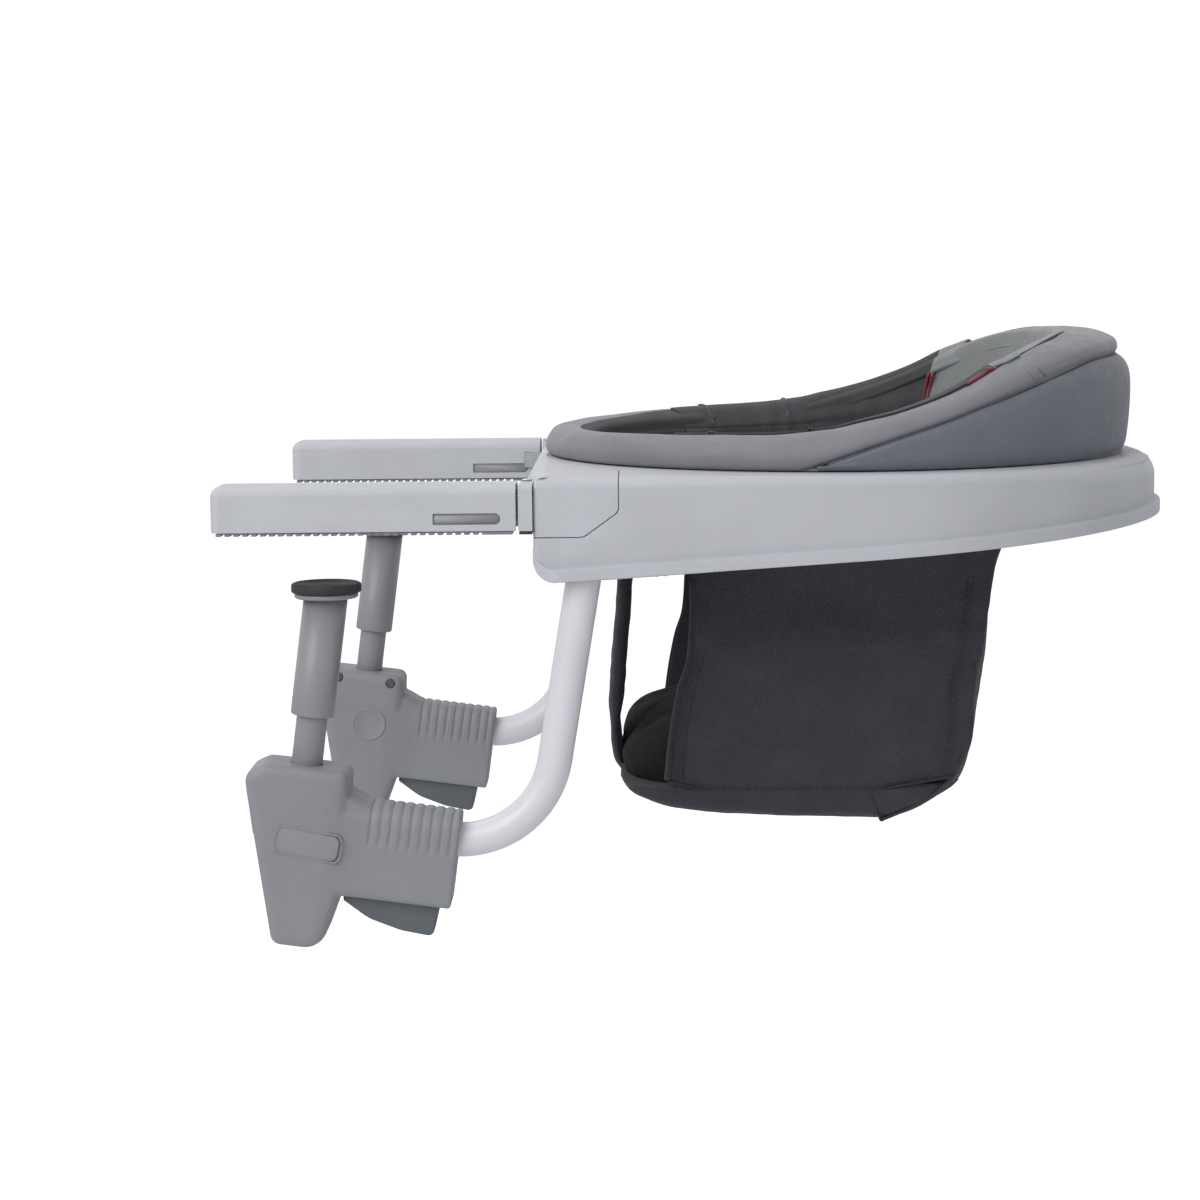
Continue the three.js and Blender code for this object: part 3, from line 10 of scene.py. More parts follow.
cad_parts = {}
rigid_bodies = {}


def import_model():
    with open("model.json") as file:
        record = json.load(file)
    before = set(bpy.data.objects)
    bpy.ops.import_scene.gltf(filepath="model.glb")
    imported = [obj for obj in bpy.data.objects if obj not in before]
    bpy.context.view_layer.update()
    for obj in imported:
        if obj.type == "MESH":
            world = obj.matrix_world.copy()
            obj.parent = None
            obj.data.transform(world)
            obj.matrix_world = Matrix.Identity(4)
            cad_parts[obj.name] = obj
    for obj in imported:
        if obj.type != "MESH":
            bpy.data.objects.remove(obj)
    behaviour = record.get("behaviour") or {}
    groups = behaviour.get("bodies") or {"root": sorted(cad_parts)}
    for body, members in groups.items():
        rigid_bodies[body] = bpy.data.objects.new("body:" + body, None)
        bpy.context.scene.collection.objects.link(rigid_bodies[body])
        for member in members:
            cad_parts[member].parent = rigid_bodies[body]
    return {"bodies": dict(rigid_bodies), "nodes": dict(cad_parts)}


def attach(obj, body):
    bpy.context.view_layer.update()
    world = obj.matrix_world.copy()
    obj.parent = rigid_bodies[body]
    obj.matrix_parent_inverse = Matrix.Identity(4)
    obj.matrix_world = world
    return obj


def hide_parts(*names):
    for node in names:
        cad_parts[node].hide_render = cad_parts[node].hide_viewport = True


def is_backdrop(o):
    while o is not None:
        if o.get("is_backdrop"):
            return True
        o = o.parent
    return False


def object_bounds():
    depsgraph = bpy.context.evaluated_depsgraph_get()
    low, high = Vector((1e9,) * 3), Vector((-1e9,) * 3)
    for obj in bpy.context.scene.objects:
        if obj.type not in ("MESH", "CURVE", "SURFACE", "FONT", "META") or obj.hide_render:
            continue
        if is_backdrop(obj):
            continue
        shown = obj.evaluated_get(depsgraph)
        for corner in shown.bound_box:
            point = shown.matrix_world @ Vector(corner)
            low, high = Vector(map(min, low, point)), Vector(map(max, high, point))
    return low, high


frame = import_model()
CAD_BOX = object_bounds()
NODES = frame["nodes"]
MM = 0.001
SIDES = ((1, "right"), (-1, "left"))

# Base
HALF_WIDTH = 225.0
SEAT_X = 201.0
BACK_REACH = 221.0
DECK_TOP = 34.6
DECK_FILLET = 7.0
WALL = 4.0
BAND_PROUD = 4.0
BAND_HEIGHT = 9.3
SKIRT_DEPTH = 30.3
SKIRT_RISE = 0.062
CORNER_RADIUS = 13.0
WELL_RADIUS = 172.0
WELL_WALL_BOTTOM = 6.5
WALL_HALF = HALF_WIDTH - BAND_PROUD
WALL_BACK = BACK_REACH - BAND_PROUD
FRONT_REACH, FRONT_FOOT = 9.0, 14.0
FRONT_END, FRONT_EASE = 192.0, 90.0
BACK_FILLET = 8.0
PANEL_RING = (199.5, 241.0)
PANEL_PLAY, PANEL_END, PANEL_FOOT = 0.7, 52.7, -2.0
COVER_SKIN, PANEL_SKIN = 2.1, 1.8
SLOT_MIDDLE, SLOT_HALF, SLOT_PLAY = 209.75, 7.0, 0.3
PLAN_EDGE = 3.0
PLAN_STATIONS = [5, 7.5, 10, 12.5, 16, 22, 30, 40, 52, 66, 82, 100, 120, 142, 160, 180]
# The band's profile: how far in and up at its foot, then share of its reach and drop from its top
BAND_START = [(0.9, 0), (0.25, 0.25), (0, 0.9)]
BAND_EDGE = [(1, 2.2), (0.93, 1.4), (0.72, 0.8), (0.3, 0.35), (0.06, 0.1)]

# Arms
ARM_REACH = 200.0
ARM_INNER, ARM_OUTER = 189.0, 224.0
ARM_TOP, ARM_FLOOR, ARM_ROOT = 31.0, 2.2, 10.5
ARM_WALL, ARM_CEILING = 4.4, 23.8
ARM_SLOT = (-61.8, -20.0, 6.4, 13.4)

# Tubes and clamps
TUBE_Y = 203.0
TUBE_RADIUS = 11.0
TUBE_LEAN = math.radians(9.6)
TUBE_AXIS = (30.2, -32.3)
TUBE_TOP = 22.0
BEND_TOP = -145.0
BEND_RADIUS = 60.5
CLAMP_TILT = math.radians(7.7)
GRIP_REACH = 94.6
GRIP_END = 101.5
HEAD_HALF = 22.0
GRIP_HALF = 18.0
HEAD = [
    (28.5, 37.5, 6.0), (-25.0, 36.5, 7.0), (-37.0, 29.0, 9.0), (-33.6, 15.0, 12.0),
    (-7.85, -77.5, 7.0), (23.35, -77.5, 14.4), (32.5, -38.0, 1.5),
]
GRIP = [(-22.0, -42.0, 5.5), (22.0, -42.0, 5.5), (22.0, 18.5, 12.0), (-22.0, 18.5, 12.0)]
LEVER = [
    (33.2, -46.0, 2.0), (50.5, -55.8, 30.0), (71.5, -60.9, 30.0), (92.5, -62.3, 4.0),
    (95.0, -35.0, 1.5), (50.0, -33.0, 1.5), (46.0, -22.6, 1.5), (39.0, -22.6, 1.5),
    (33.2, -35.0, 3.0),
]
HEAD_PLANE = 18.6
SCREW_X, SCREW_Z = (-21.0, 19.0), 31.0
BADGE = (-12.5, 29.5, -18.6, -2.0)
BADGE_MIDDLE, BADGE_LIFT = (8.5, -10.3), 2.6
BUTTON_AT, BUTTON_SLOPE = (-28.6, 0, -3), math.radians(14.3)
FOOT_HEIGHT, CUP_HEIGHT = -37.0, -40.8

# Seat
PAD_SEAT = 37.8
RIM_OUTER = 200.0
RIM_SKIRT = 35.4
LINING_RADIUS = 165.4
BACK_SWEEP = math.radians(52.5)
RIM_BACK, RIM_INNER, RIM_TOP = 191.0, (168.0, 146.0), (187.0, 158.0)
FLANGE, PANEL_INNER = 195.3, 176.3
CREST_LOW, CREST_HIGH, SEAM_HIGH = 54.0, 118.5, 101.5
BACK_FLAT, PAD_BACK = 112.0, 172.3
LINING_DROP = 9
# Share of the half turn from the back, and share of the way from the lowest height to the highest
CREST = [
    (0, 1), (0.139, 0.96), (0.222, 0.884), (0.294, 0.752), (0.333, 0.628), (0.372, 0.481),
    (0.417, 0.341), (0.456, 0.24), (0.5, 0.155), (0.522, 0.109), (0.583, 0.054), (0.667, 0.036),
    (0.833, 0.011), (1, 0),
]
RIM_CREST, RIM_POINTS = 28, 44
PIPE_ANGLE, PIPE_LEAN = math.radians(64), math.radians(5.0)
PAD_SWEEP = math.radians(63)
SEAM = [
    (0, 1), (0.156, 0.99), (0.2, 0.962), (0.25, 0.875), (0.289, 0.785), (0.317, 0.715),
    (0.361, 0.59), (0.406, 0.45), (0.456, 0.305), (0.5, 0.165), (0.539, 0.04), (0.56, 0), (1, 0),
]

FOLD_BAND = math.radians(22)
PANEL_SWEEP = math.radians(97)

# Bag: rows of height and x, of x and height, and of share of the way down, x and height
WALL_COLUMNS, WALL_Y, WALL_SWELL = 96, 128.6, 3.5
WALL_START = math.radians(128)
BAG_FRONT = [
    (-190, 80.5), (-172.7, 81.4), (-137.5, 85.6), (-110, 91.0), (-93, 96.4), (-68, 98.6),
    (-50, 99.0), (0, 99.2),
]
BAG_BACK = [
    (-190, 268.0), (-172, 271.5), (-164, 275), (-153, 281), (-139, 282), (-107, 283.5),
    (-95, 287), (-65, 292), (-21, 297), (0, 300.5),
]
BAG_SEAM = [
    (70, -172.0), (81.4, -173), (113.6, -180), (213.9, -181), (224, -179), (266, -172), (280, -170),
]
REAR_MIDDLE = [
    (0.0, 312.8, -10.3), (0.12, 304.0, -38.0), (0.28, 297.0, -81.0), (0.4, 295.4, -114.0),
    (0.5, 292.0, -134.0), (0.62, 287.5, -161.0), (0.74, 277.5, -187.0), (0.86, 252.0, -197.0),
    (1.0, 221.5, -202.0),
]
REAR_EDGE = [
    (0.0, 303.0, -10.3), (0.12, 293.0, -38.0), (0.28, 287.6, -81.0), (0.4, 282.5, -112.0),
    (0.5, 280.6, -134.0), (0.62, 276.0, -157.0), (0.74, 266.0, -175.0), (0.86, 246.0, -190.0),
    (1.0, 222.5, -200.6),
]
FLOOR_TOP = -177.3
FLOOR_LOW = [
    (51, -178.2), (54, -181.2), (59, -184.4), (66, -187.0), (82, -191.6), (108, -195.8),
    (160, -198.4), (218, -200.0), (232, -199.0), (250, -192.5), (268, -183.0), (276, -178.8),
]
FLOOR_HALF = [
    (51, 78), (53, 94), (57, 110), (66, 121), (82, 127.6), (100, 129.6), (222, 129.6),
    (250, 128.2), (268, 120), (276, 104),
]
STRAP_TOP, STRAP_END = -10.3, -183.5
STRAP = [
    (10.3, 53.6), (30, 51.0), (55, 48.0), (76, 46.6), (98, 44.4), (118, 42.8), (132, 41.8),
    (150, 42.4), (166, 43.4), (176, 45.4), (183.5, 50.5),
]
APRON_START = math.radians(128.3)
CUSHION_FLOOR, CUSHION_FRONT, CUSHION_SIDE = -181.5, 50.2, 126.6
CUSHION = [
    (-181.5, 6), (-178, 2.0), (-172, 0), (-162, 0), (-155, 3), (-149, 10), (-144.5, 22),
    (-141.5, 40), (-140, 64),
]
# The lining's folds: middle in degrees, half width in degrees, depth, and degrees of lean per mm
FOLDS = [
    (121.0, 1.2, 2.2, 0.0), (117.5, 1.0, 1.6, 0.02), (108.0, 1.6, 1.3, 0.10),
    (104.0, 1.4, 1.2, -0.06), (99.0, 1.1, 2.4, 0.0), (94.5, 2.0, 1.0, 0.06),
    (88.0, 2.4, 1.5, -0.05), (82.5, 1.7, 1.8, 0.08), (78.0, 1.6, 1.4, 0.05),
    (71.0, 3.0, 1.1, -0.04), (63.0, 2.2, 1.3, 0.03),
]
# The length and width of one thread end, in shares
STITCH = [(-0.5, 0.45), (-0.3, 1.0), (0.3, 1.0), (0.5, 0.45)]
FLAT = math.radians(0.6)


# Numbers
def mix(a, b, share):
    return a + (b - a) * share


def limit(value, low=0.0, high=1.0):
    return max(low, min(high, value))


def ease(value, low=0.0, high=1.0):
    share = limit((value - low) / (high - low))
    return share * share * (3 - 2 * share)


def spread(start, end, count):
    return [mix(start, end, i / count) for i in range(count + 1)]


def through(points, steps, closed=False):
    """Points of a smooth curve that passes through the given ones."""
    count = len(points)
    out = []
    for i in range(count if closed else count - 1):
        near = [i + k for k in (-1, 0, 1, 2)]
        p = [points[n % count if closed else limit(n, 0, count - 1)] for n in near]
        for step in range(steps):
            t = step / steps
            out.append(
                0.5 * (
                    2 * p[1] + (p[2] - p[0]) * t
                    + (2 * p[0] - 5 * p[1] + 4 * p[2] - p[3]) * t * t
                    + (3 * p[1] - p[0] - 3 * p[2] + p[3]) * t ** 3
                )
            )
    return out if closed else out + [points[-1]]


def table_at(table, place):
    """A smooth value between the rows of a table."""
    if place <= table[0][0]:
        return table[0][1]
    for i in range(1, len(table)):
        if place <= table[i][0]:
            (x0, y0), (x1, y1) = table[i - 1], table[i]
            before = table[i - 2] if i > 1 else table[i - 1]
            after = table[i + 1] if i + 1 < len(table) else table[i]
            m0 = (y1 - before[1]) / max(x1 - before[0], 1e-9)
            m1 = (after[1] - y0) / max(after[0] - x0, 1e-9)
            h = x1 - x0
            t = (place - x0) / h
            return (
                y0 * (2 * t ** 3 - 3 * t * t + 1) + m0 * h * (t ** 3 - 2 * t * t + t)
                + y1 * (3 * t * t - 2 * t ** 3) + m1 * h * (t ** 3 - t * t)
            )
    return table[-1][1]


def column_at(table, column, place):
    return table_at([(row[0], row[column]) for row in table], place)


def circle(count):
    """Cosine and sine of evenly spaced angles round a circle."""
    return [(math.cos(a), math.sin(a)) for a in spread(0, 2 * math.pi, count)[:-1]]


def vectors(places):
    return [Vector(p) for p in places]


def outward(angle, rise=0.0):
    return Vector((math.cos(angle), math.sin(angle), rise))


def polar(radius, angle, height):
    return Vector((SEAT_X + radius * math.cos(angle), radius * math.sin(angle), height))


# Meshes
def place(name, mesh):
    obj = bpy.data.objects.new(name, mesh)
    bpy.context.scene.collection.objects.link(obj)
    return obj


def mesh_of(name, points, faces):
    mesh = bpy.data.meshes.new(name)
    mesh.from_pydata([Vector(p) * MM for p in points], [], faces)
    work = bmesh.new()
    work.from_mesh(mesh)
    bmesh.ops.remove_doubles(work, verts=work.verts, dist=1e-6)
    bmesh.ops.recalc_face_normals(work, faces=work.faces)
    work.to_mesh(mesh)
    work.free()
    mesh.shade_smooth()
    return place(name, mesh)


def grid(name, rows, wrap_rows=False, wrap_columns=False, caps=False):
    """A surface of quads through rows of points."""
    columns = len(rows[0])
    faces = []
    for i in range(len(rows) if wrap_rows else len(rows) - 1):
        for j in range(columns if wrap_columns else columns - 1):
            k, n = (j + 1) % columns, (i + 1) % len(rows)
            faces.append((i * columns + j, i * columns + k, n * columns + k, n * columns + j))
    if caps:
        last = (len(rows) - 1) * columns
        faces.append(tuple(range(columns)))
        faces.append(tuple(last + j for j in reversed(range(columns))))
    return mesh_of(name, [p for row in rows for p in row], faces)


def settle(obj):
    """Applies an object's modifiers to its mesh."""
    bpy.context.view_layer.update()
    done = bpy.data.meshes.new_from_object(obj.evaluated_get(bpy.context.evaluated_depsgraph_get()))
    obj.modifiers.clear()
    obj.data = done
    return obj


def modify(obj, kind, **settings):
    modifier = obj.modifiers.new(kind.lower(), kind)
    for name, value in settings.items():
        setattr(modifier, name, value)
    return modifier


def combine(obj, tool, operation="DIFFERENCE"):
    """Cuts an object with a tool, or keeps what they share, and removes the tool."""
    modify(obj, "BOOLEAN", object=tool, operation=operation, solver="MANIFOLD")
    settle(obj)
    bpy.data.objects.remove(tool)
    return obj


def thicken(obj, thickness, offset):
    modify(obj, "SOLIDIFY", thickness=thickness * MM, offset=offset)
    return settle(obj)


def subdivide(obj):
    modify(obj, "SUBSURF", levels=1, render_levels=1)
    return settle(obj)


def tidy_faces(obj):
    """Joins flat faces. Edges on the mid-plane stay, so that no flat ring becomes one face."""
    work = bmesh.new()
    work.from_mesh(obj.data)
    bmesh.ops.remove_doubles(work, verts=work.verts, dist=2e-6)
    for edge in work.edges:
        edge.seam = all(abs(v.co.y) < 0.02 * MM for v in edge.verts)
    bmesh.ops.dissolve_limit(
        work, angle_limit=FLAT, verts=work.verts, edges=work.edges, delimit={"SEAM"}
    )
    work.to_mesh(obj.data)
    work.free()
    return obj


def soften(obj, width, angle=32):
    """Rounds an object's sharp edges a little and shades its faces by area."""
    modify(
        obj, "BEVEL", width=width * MM, segments=2, limit_method="ANGLE",
        angle_limit=math.radians(angle), use_clamp_overlap=True, miter_outer="MITER_ARC",
    )
    for polygon in obj.data.polygons:
        polygon.use_smooth = True
    modify(obj, "WEIGHTED_NORMAL", keep_sharp=False)
    return obj


def mirrored(obj, name):
    """A copy of an object on the other side of the chair."""
    copy = place(name, obj.data.copy())
    copy.data.transform(Matrix.Scale(-1, 4, Vector((0, 1, 0))))
    copy.data.flip_normals()
    for modifier in obj.modifiers:
        twin = copy.modifiers.new(modifier.name, modifier.type)
        for item in modifier.bl_rna.properties:
            if not item.is_readonly:
                setattr(twin, item.identifier, getattr(modifier, item.identifier))
    return copy


def joined(name, objects):
    mesh = bpy.data.meshes.new(name)
    work = bmesh.new()
    for obj in objects:
        work.from_mesh(obj.data)
        bpy.data.objects.remove(obj)
    work.to_mesh(mesh)
    work.free()
    mesh.shade_smooth()
    return place(name, mesh)


def rounded_polygon(corners, inset=0.0, steps=6):
    """An outline of [x, y, radius] corners, each rounded, with its edges moved in by an inset."""
    points = [Vector((x, y)) for x, y, _ in corners]
    count = len(points)
    area = sum(points[i - 1].cross(points[i]) for i in range(count))
    turn = 1 if area > 0 else -1
    edges = []
    for i, point in enumerate(points):
        along = (points[(i + 1) % count] - point).normalized()
        inward = Vector((-along.y, along.x)) * turn
        edges.append((along, inward, point + inward * inset))
    outline = []
    for i, (_, _, radius) in enumerate(corners):
        (before, before_in, before_from), (after, _, after_from) = edges[i - 1], edges[i]
        sine = before.cross(after)
        reach = (after_from - before_from).cross(after) / sine
        bend = math.atan2(sine, before.dot(after))
        convex = 1 if bend * turn > 0 else -1
        size = max(radius - convex * inset, radius / 4)
        start = before_from + before * (reach - size * math.tan(abs(bend) / 2))
        centre = start + before_in * (convex * size)
        for angle in spread(0, bend, steps):
            outline.append(centre + Matrix.Rotation(angle, 2) @ (start - centre))
    return outline


def rectangle(x0, x1, y0, y1, radii, steps=6):
    corners = [(x0, y0, radii[0]), (x1, y0, radii[1]), (x1, y1, radii[2]), (x0, y1, radii[3])]
    return lambda inset=0.0: rounded_polygon(corners, inset, steps)


def stack(name, outline_at, levels, axis):
    """An outline that is drawn in from level to level along an axis, closed at both ends."""
    put = {
        "x": lambda p, w: (w, p.x, p.y),
        "y": lambda p, w: (p.x, w, p.y),
        "z": lambda p, w: (p.x, p.y, w),
    }[axis]
    rows = [[put(p, level) for p in outline_at(inset)] for level, inset in levels]
    return grid(name, rows, wrap_columns=True, caps=True)


def rounded_levels(low, high, low_radius, high_radius, steps=5):
    """Levels and insets of a stack whose lower and upper edges are rounded."""
    levels = []
    for edge, radius, start, end in (
        (low, low_radius, math.pi / 2, 0), (high, -high_radius, 0, math.pi / 2),
    ):
        for angle in spread(start, end, steps):
            levels.append(
                (edge + radius * (1 - math.sin(angle)), abs(radius) * (1 - math.cos(angle)))
            )
    return levels


def block(name, x0, x1, y0, y1, z0, z1):
    return stack(name, rectangle(x0, x1, y0, y1, [0.01] * 4, 1), [(z0, 0), (z1, 0)], "z")


def lathe(name, profile, start, direction, sides=64):
    """A solid turned about an axis, from [radius, distance along it] points."""
    turn = Vector((0, 0, 1)).rotation_difference(Vector(direction)).to_matrix()
    rows = [
        [Vector(start) + turn @ Vector((r * c, r * s, h)) for c, s in circle(sides)]
        for r, h in profile
    ]
    return grid(name, rows, wrap_columns=True, caps=True)


def rod_between(name, start, end, radius, sides=48, edge=0.0):
    start, end = Vector(start), Vector(end)
    length = (end - start).length
    profile = [(radius, 0), (radius, length)]
    if edge:
        profile = [(radius - edge, 0), (radius, edge)]
        profile += [(radius, length - edge), (radius - edge, length)]
    return lathe(name, profile, start, end - start, sides)


def sweep(name, path, radius, sides=32, flat=1.0, closed=False):
    """A round or flattened bar along a path."""
    count = len(path)
    rows = []
    up = None
    for i, point in enumerate(path):
        if closed:
            along = path[(i + 1) % count] - path[i - 1]
        else:
            along = path[min(i + 1, count - 1)] - path[max(i - 1, 0)]
        along.normalize()
        if up is None:
            up = along.orthogonal().normalized()
        up = (up - along * up.dot(along)).normalized()
        side = along.cross(up)
        size = radius(i / (count - 1)) if callable(radius) else radius
        rows.append([point + up * (size * c) + side * (size * flat * s) for c, s in circle(sides)])
    return grid(name, rows, wrap_rows=closed, wrap_columns=True, caps=not closed)


def stitches(path, pitch, length, radius):
    """A row of short thread ends along a path on a side of the bag."""
    points, faces = [], []
    run, target = 0.0, pitch / 2
    out = Vector((0, 1, 0))
    for a, b in zip(path, path[1:]):
        step = (b - a).length
        along = (b - a).normalized()
        side = along.cross(out).normalized()
        while run + step >= target:
            middle = a.lerp(b, (target - run) / step)
            start = len(points)
            for share, size in STITCH:
                for c, s in circle(6):
                    across = side * (radius * size * c) + out * (radius * size * s)
                    points.append(middle + along * (length * share) + across)
            for ring in range(len(STITCH) - 1):
                for k in range(6):
                    n = (k + 1) % 6
                    faces.append(tuple(start + ring * 6 + v for v in (k, n, n + 6, k + 6)))
            faces.append(tuple(start + k for k in range(6)))
            faces.append(tuple(start + 18 + k for k in reversed(range(6))))
            target += pitch
        run += step
    return mesh_of("stitches", points, faces)


# Materials
class Nodes:
    """A node tree whose nodes are added together with their values and links."""

    def __init__(self, tree):
        self.nodes, self.links = tree.nodes, tree.links

    def put(self, socket, value):
        if isinstance(value, bpy.types.NodeSocket):
            self.links.new(value, socket)
        else:
            socket.default_value = value

    def fill(self, node, sockets):
        for name, value in sockets.items():
            self.put(node.inputs[name.replace("_", " ")], value)
        return node

    def add(self, kind, operation=None, **sockets):
        node = self.nodes.new("ShaderNode" + kind)
        if operation:
            node.operation = operation
        return self.fill(node, sockets)

    def join(self, kind, *sources):
        """A node that takes its sources in the order of its sockets."""
        node = self.nodes.new("ShaderNode" + kind)
        for socket, source in zip(node.inputs, sources):
            self.put(socket, source)
        return node.outputs[0]

    def math(self, operation, a, b=0.0):
        node = self.add("Math", operation)
        self.put(node.inputs[0], a)
        self.put(node.inputs[1], b)
        return node.outputs[0]


class Paint(Nodes):
    """A material that is built up from layers of colour, gloss and relief."""

    def __init__(self, name, color, roughness, metallic=0.0, **sockets):
        self.material = bpy.data.materials.new(name)
        self.material.use_nodes = True
        super().__init__(self.material.node_tree)
        self.shader = self.nodes["Principled BSDF"]
        self.fill(self.shader, dict(sockets, Metallic=metallic, Roughness=roughness))
        self.color = tuple(self.linear(c / 255) for c in color)
        self.coordinates = self.add("TexCoord").outputs["Object"]
        self.tint = None
        self.height = None

    @staticmethod
    def linear(value):
        return value / 12.92 if value <= 0.04045 else ((value + 0.055) / 1.055) ** 2.4

    def noise(self, size, detail=3.0):
        """Noise whose grains are about size millimetres across."""
        scale = 1 / (size * MM)
        node = self.add(
            "TexNoise", Scale=scale, Detail=detail, Roughness=0.55, Vector=self.coordinates
        )
        return node.outputs["Fac"]

    def cells(self, size):
        node = self.add("TexVoronoi", Scale=1 / (size * MM), Vector=self.coordinates)
        return node.outputs["Distance"]

    def ranged(self, source, low, high, start, end):
        node = self.add(
            "MapRange", Value=source, From_Min=low, From_Max=high, To_Min=start, To_Max=end
        )
        return node.outputs["Result"]

    def vary(self, source, amount, low=0.35, high=0.65):
        """Shifts the colour down and up by an amount with a source of values."""
        out = self.ranged(source, low, high, 1 - amount, 1 + amount)
        self.tint = out if self.tint is None else self.math("MULTIPLY", self.tint, out)
        return self

    def rough(self, source, low, high):
        self.put(self.shader.inputs["Roughness"], self.ranged(source, 0.3, 0.7, low, high))
        return self

    def bump(self, source, depth, strength=1.0):
        """Adds relief of a depth in millimetres."""
        node = self.add("Bump", Distance=depth * MM, Strength=strength, Height=source)
        if self.height is not None:
            self.put(node.inputs["Normal"], self.height)
        self.height = node.outputs["Normal"]
        return self

    def wear(self, amount):
        """Lightens convex edges as rubbed wear, and darkens hollows as painted shade."""
        return self.vary(self.add("NewGeometry").outputs["Pointiness"], amount, 0.44, 0.56)

    def weave(self, pitch, depth, amount):
        """Crossed threads that follow the surface's place in the chair."""
        x, y, z = self.add("SeparateXYZ", Vector=self.coordinates).outputs
        rate = 2 * math.pi / (pitch * MM)
        warp = self.math("SINE", self.math("MULTIPLY", self.math("ADD", x, y), rate))
        lean = self.math("ADD", z, self.math("MULTIPLY", y, 0.5))
        weft = self.math("SINE", self.math("MULTIPLY", lean, rate))
        height = self.math("MULTIPLY", warp, weft)
        self.bump(height, depth)
        return self.vary(height, amount, -1.0, 1.0)

    def done(self):
        scale = self.add("VectorMath", "SCALE", Scale=self.tint)
        scale.inputs[0].default_value = self.color
        self.put(self.shader.inputs["Base Color"], scale.outputs["Vector"])
        if self.height is not None:
            self.put(self.shader.inputs["Normal"], self.height)
        return self.material


def moulded(name, color, roughness=0.5, grain=0.7, depth=0.03):
    paint = Paint(name, color, roughness, Specular_IOR_Level=0.45)
    paint.vary(paint.noise(60), 0.03).vary(paint.noise(4, 4), 0.012).wear(0.05)
    paint.bump(paint.noise(grain, 2), depth)
    return paint.rough(paint.noise(18), roughness - 0.06, roughness + 0.08).done()


def leather(name, color, roughness=0.52):
    paint = Paint(name, color, roughness, Sheen_Weight=0.08, Sheen_Roughness=0.5)
    paint.vary(paint.noise(45), 0.05).vary(paint.cells(1.3), 0.03, 0.1, 0.7).wear(0.06)
    paint.bump(paint.cells(1.3), 0.07).bump(paint.noise(14, 4), 0.5, 0.6)
    return paint.rough(paint.noise(9), roughness - 0.08, roughness + 0.1).done()


def cloth(name, color, pitch=0.75, depth=0.12, sheen=0.15):
    paint = Paint(
        name, color, 0.88, Sheen_Weight=sheen, Sheen_Roughness=0.6, Specular_IOR_Level=0.25
    )
    paint.vary(paint.noise(35), 0.08).vary(paint.noise(1.6, 3), 0.06).weave(pitch, depth, 0.12)
    paint.bump(paint.noise(22, 5), 1.4, 0.7)
    return paint.rough(paint.noise(12), 0.8, 0.96).done()


def metal(name, color, roughness=0.32, metallic=0.9):
    paint = Paint(name, color, roughness, metallic)
    paint.vary(paint.noise(12), 0.05).wear(0.06).bump(paint.noise(0.8, 3), 0.015)
    return paint.rough(paint.noise(5), roughness - 0.08, roughness + 0.12).done()


def enamel(name, color, roughness=0.34):
    paint = Paint(name, color, roughness, Coat_Weight=0.15, Coat_Roughness=0.3)
    paint.vary(paint.noise(70), 0.025).wear(0.04).bump(paint.noise(1.1, 3), 0.02)
    return paint.rough(paint.noise(20), roughness - 0.05, roughness + 0.08).done()


def rubber(name, color):
    paint = Paint(name, color, 0.8)
    paint.vary(paint.noise(8), 0.1).wear(0.1).bump(paint.noise(0.5, 3), 0.06)
    return paint.rough(paint.noise(6), 0.7, 0.9).done()


PALE = moulded("pale_plastic", (186, 187, 192))
# Painted shade: a darker plastic for thin plates on the arm slots' floors, in place of the shade
# inside the recesses
SLOT_PAINTED_SHADE = moulded("slot_painted_shade_plastic", (156, 157, 162))
GREY = moulded("grey_plastic", (137, 138, 142), 0.55)
LEVER_GREY = moulded("lever_plastic", (89, 94, 99), 0.5, 0.5, 0.08)
TUBE_PAINT = enamel("painted_tube", (216, 216, 221))
ROD_PAINT = enamel("rod_paint", (134, 134, 138), 0.4)
STEEL = metal("bare_steel", (176, 178, 180))
# Painted shade: the clamp screws are painted dark, in place of the shade in their deep holes
SCREW_SHADE_STEEL = metal("screw_painted_shade_steel", (92, 93, 96), 0.4)
CAST = metal("cast_metal", (156, 158, 161), 0.5, 0.7)
RUBBER = rubber("black_rubber", (44, 45, 47))
GREY_RUBBER = rubber("grey_rubber", (128, 128, 133))
RIM_LEATHER = leather("rim_leather", (118, 119, 124))
SIDE_LEATHER = leather("side_leather", (102, 105, 113), 0.56)
PAD_LEATHER = leather("pad_leather", (132, 134, 135), 0.6)
CLOTH = cloth("black_cloth", (55, 56, 62), 1.9, 0.2, sheen=0.1)
# Painted shade: the cushion's cloth is painted darker than the bag's, in place of the shade inside
# the bag
CUSHION_SHADE_CLOTH = cloth("cushion_cloth_painted_shade", (21, 22, 22), sheen=0.0)
LINING = cloth("lining_cloth", (70, 71, 73), 0.55, 0.08)
BINDING = cloth("binding_cloth", (42, 43, 46), 1.2, 0.15)
PIPING = leather("piping", (126, 40, 56), 0.5)
THREAD = cloth("thread", (96, 98, 102), 0.4, 0.1)
# Dark thread for the bag's stitches, also used as painted shade for the gaps at the backrest's top
GAP_SHADE_AND_DARK_THREAD = cloth("gap_shade_and_dark_thread", (38, 39, 42), 0.4, 0.1)


def dress(obj, body, paint, slot, *nodes):
    """Gives a piece its material and body and hides the nodes that it stands for; the slot is not
    used.
    """
    obj.data.materials.clear()
    obj.data.materials.append(paint)
    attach(obj, body)
    if nodes:
        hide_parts(*nodes)
    return obj


# Base
def skirt_at(x):
    low = -SKIRT_DEPTH + SKIRT_RISE * (max(x, CORNER_RADIUS) - CORNER_RADIUS)
    if x < CORNER_RADIUS:
        short = CORNER_RADIUS - max(x, 0.0)
        low += CORNER_RADIUS - math.sqrt(max(CORNER_RADIUS ** 2 - short ** 2, 0.0))
    return low


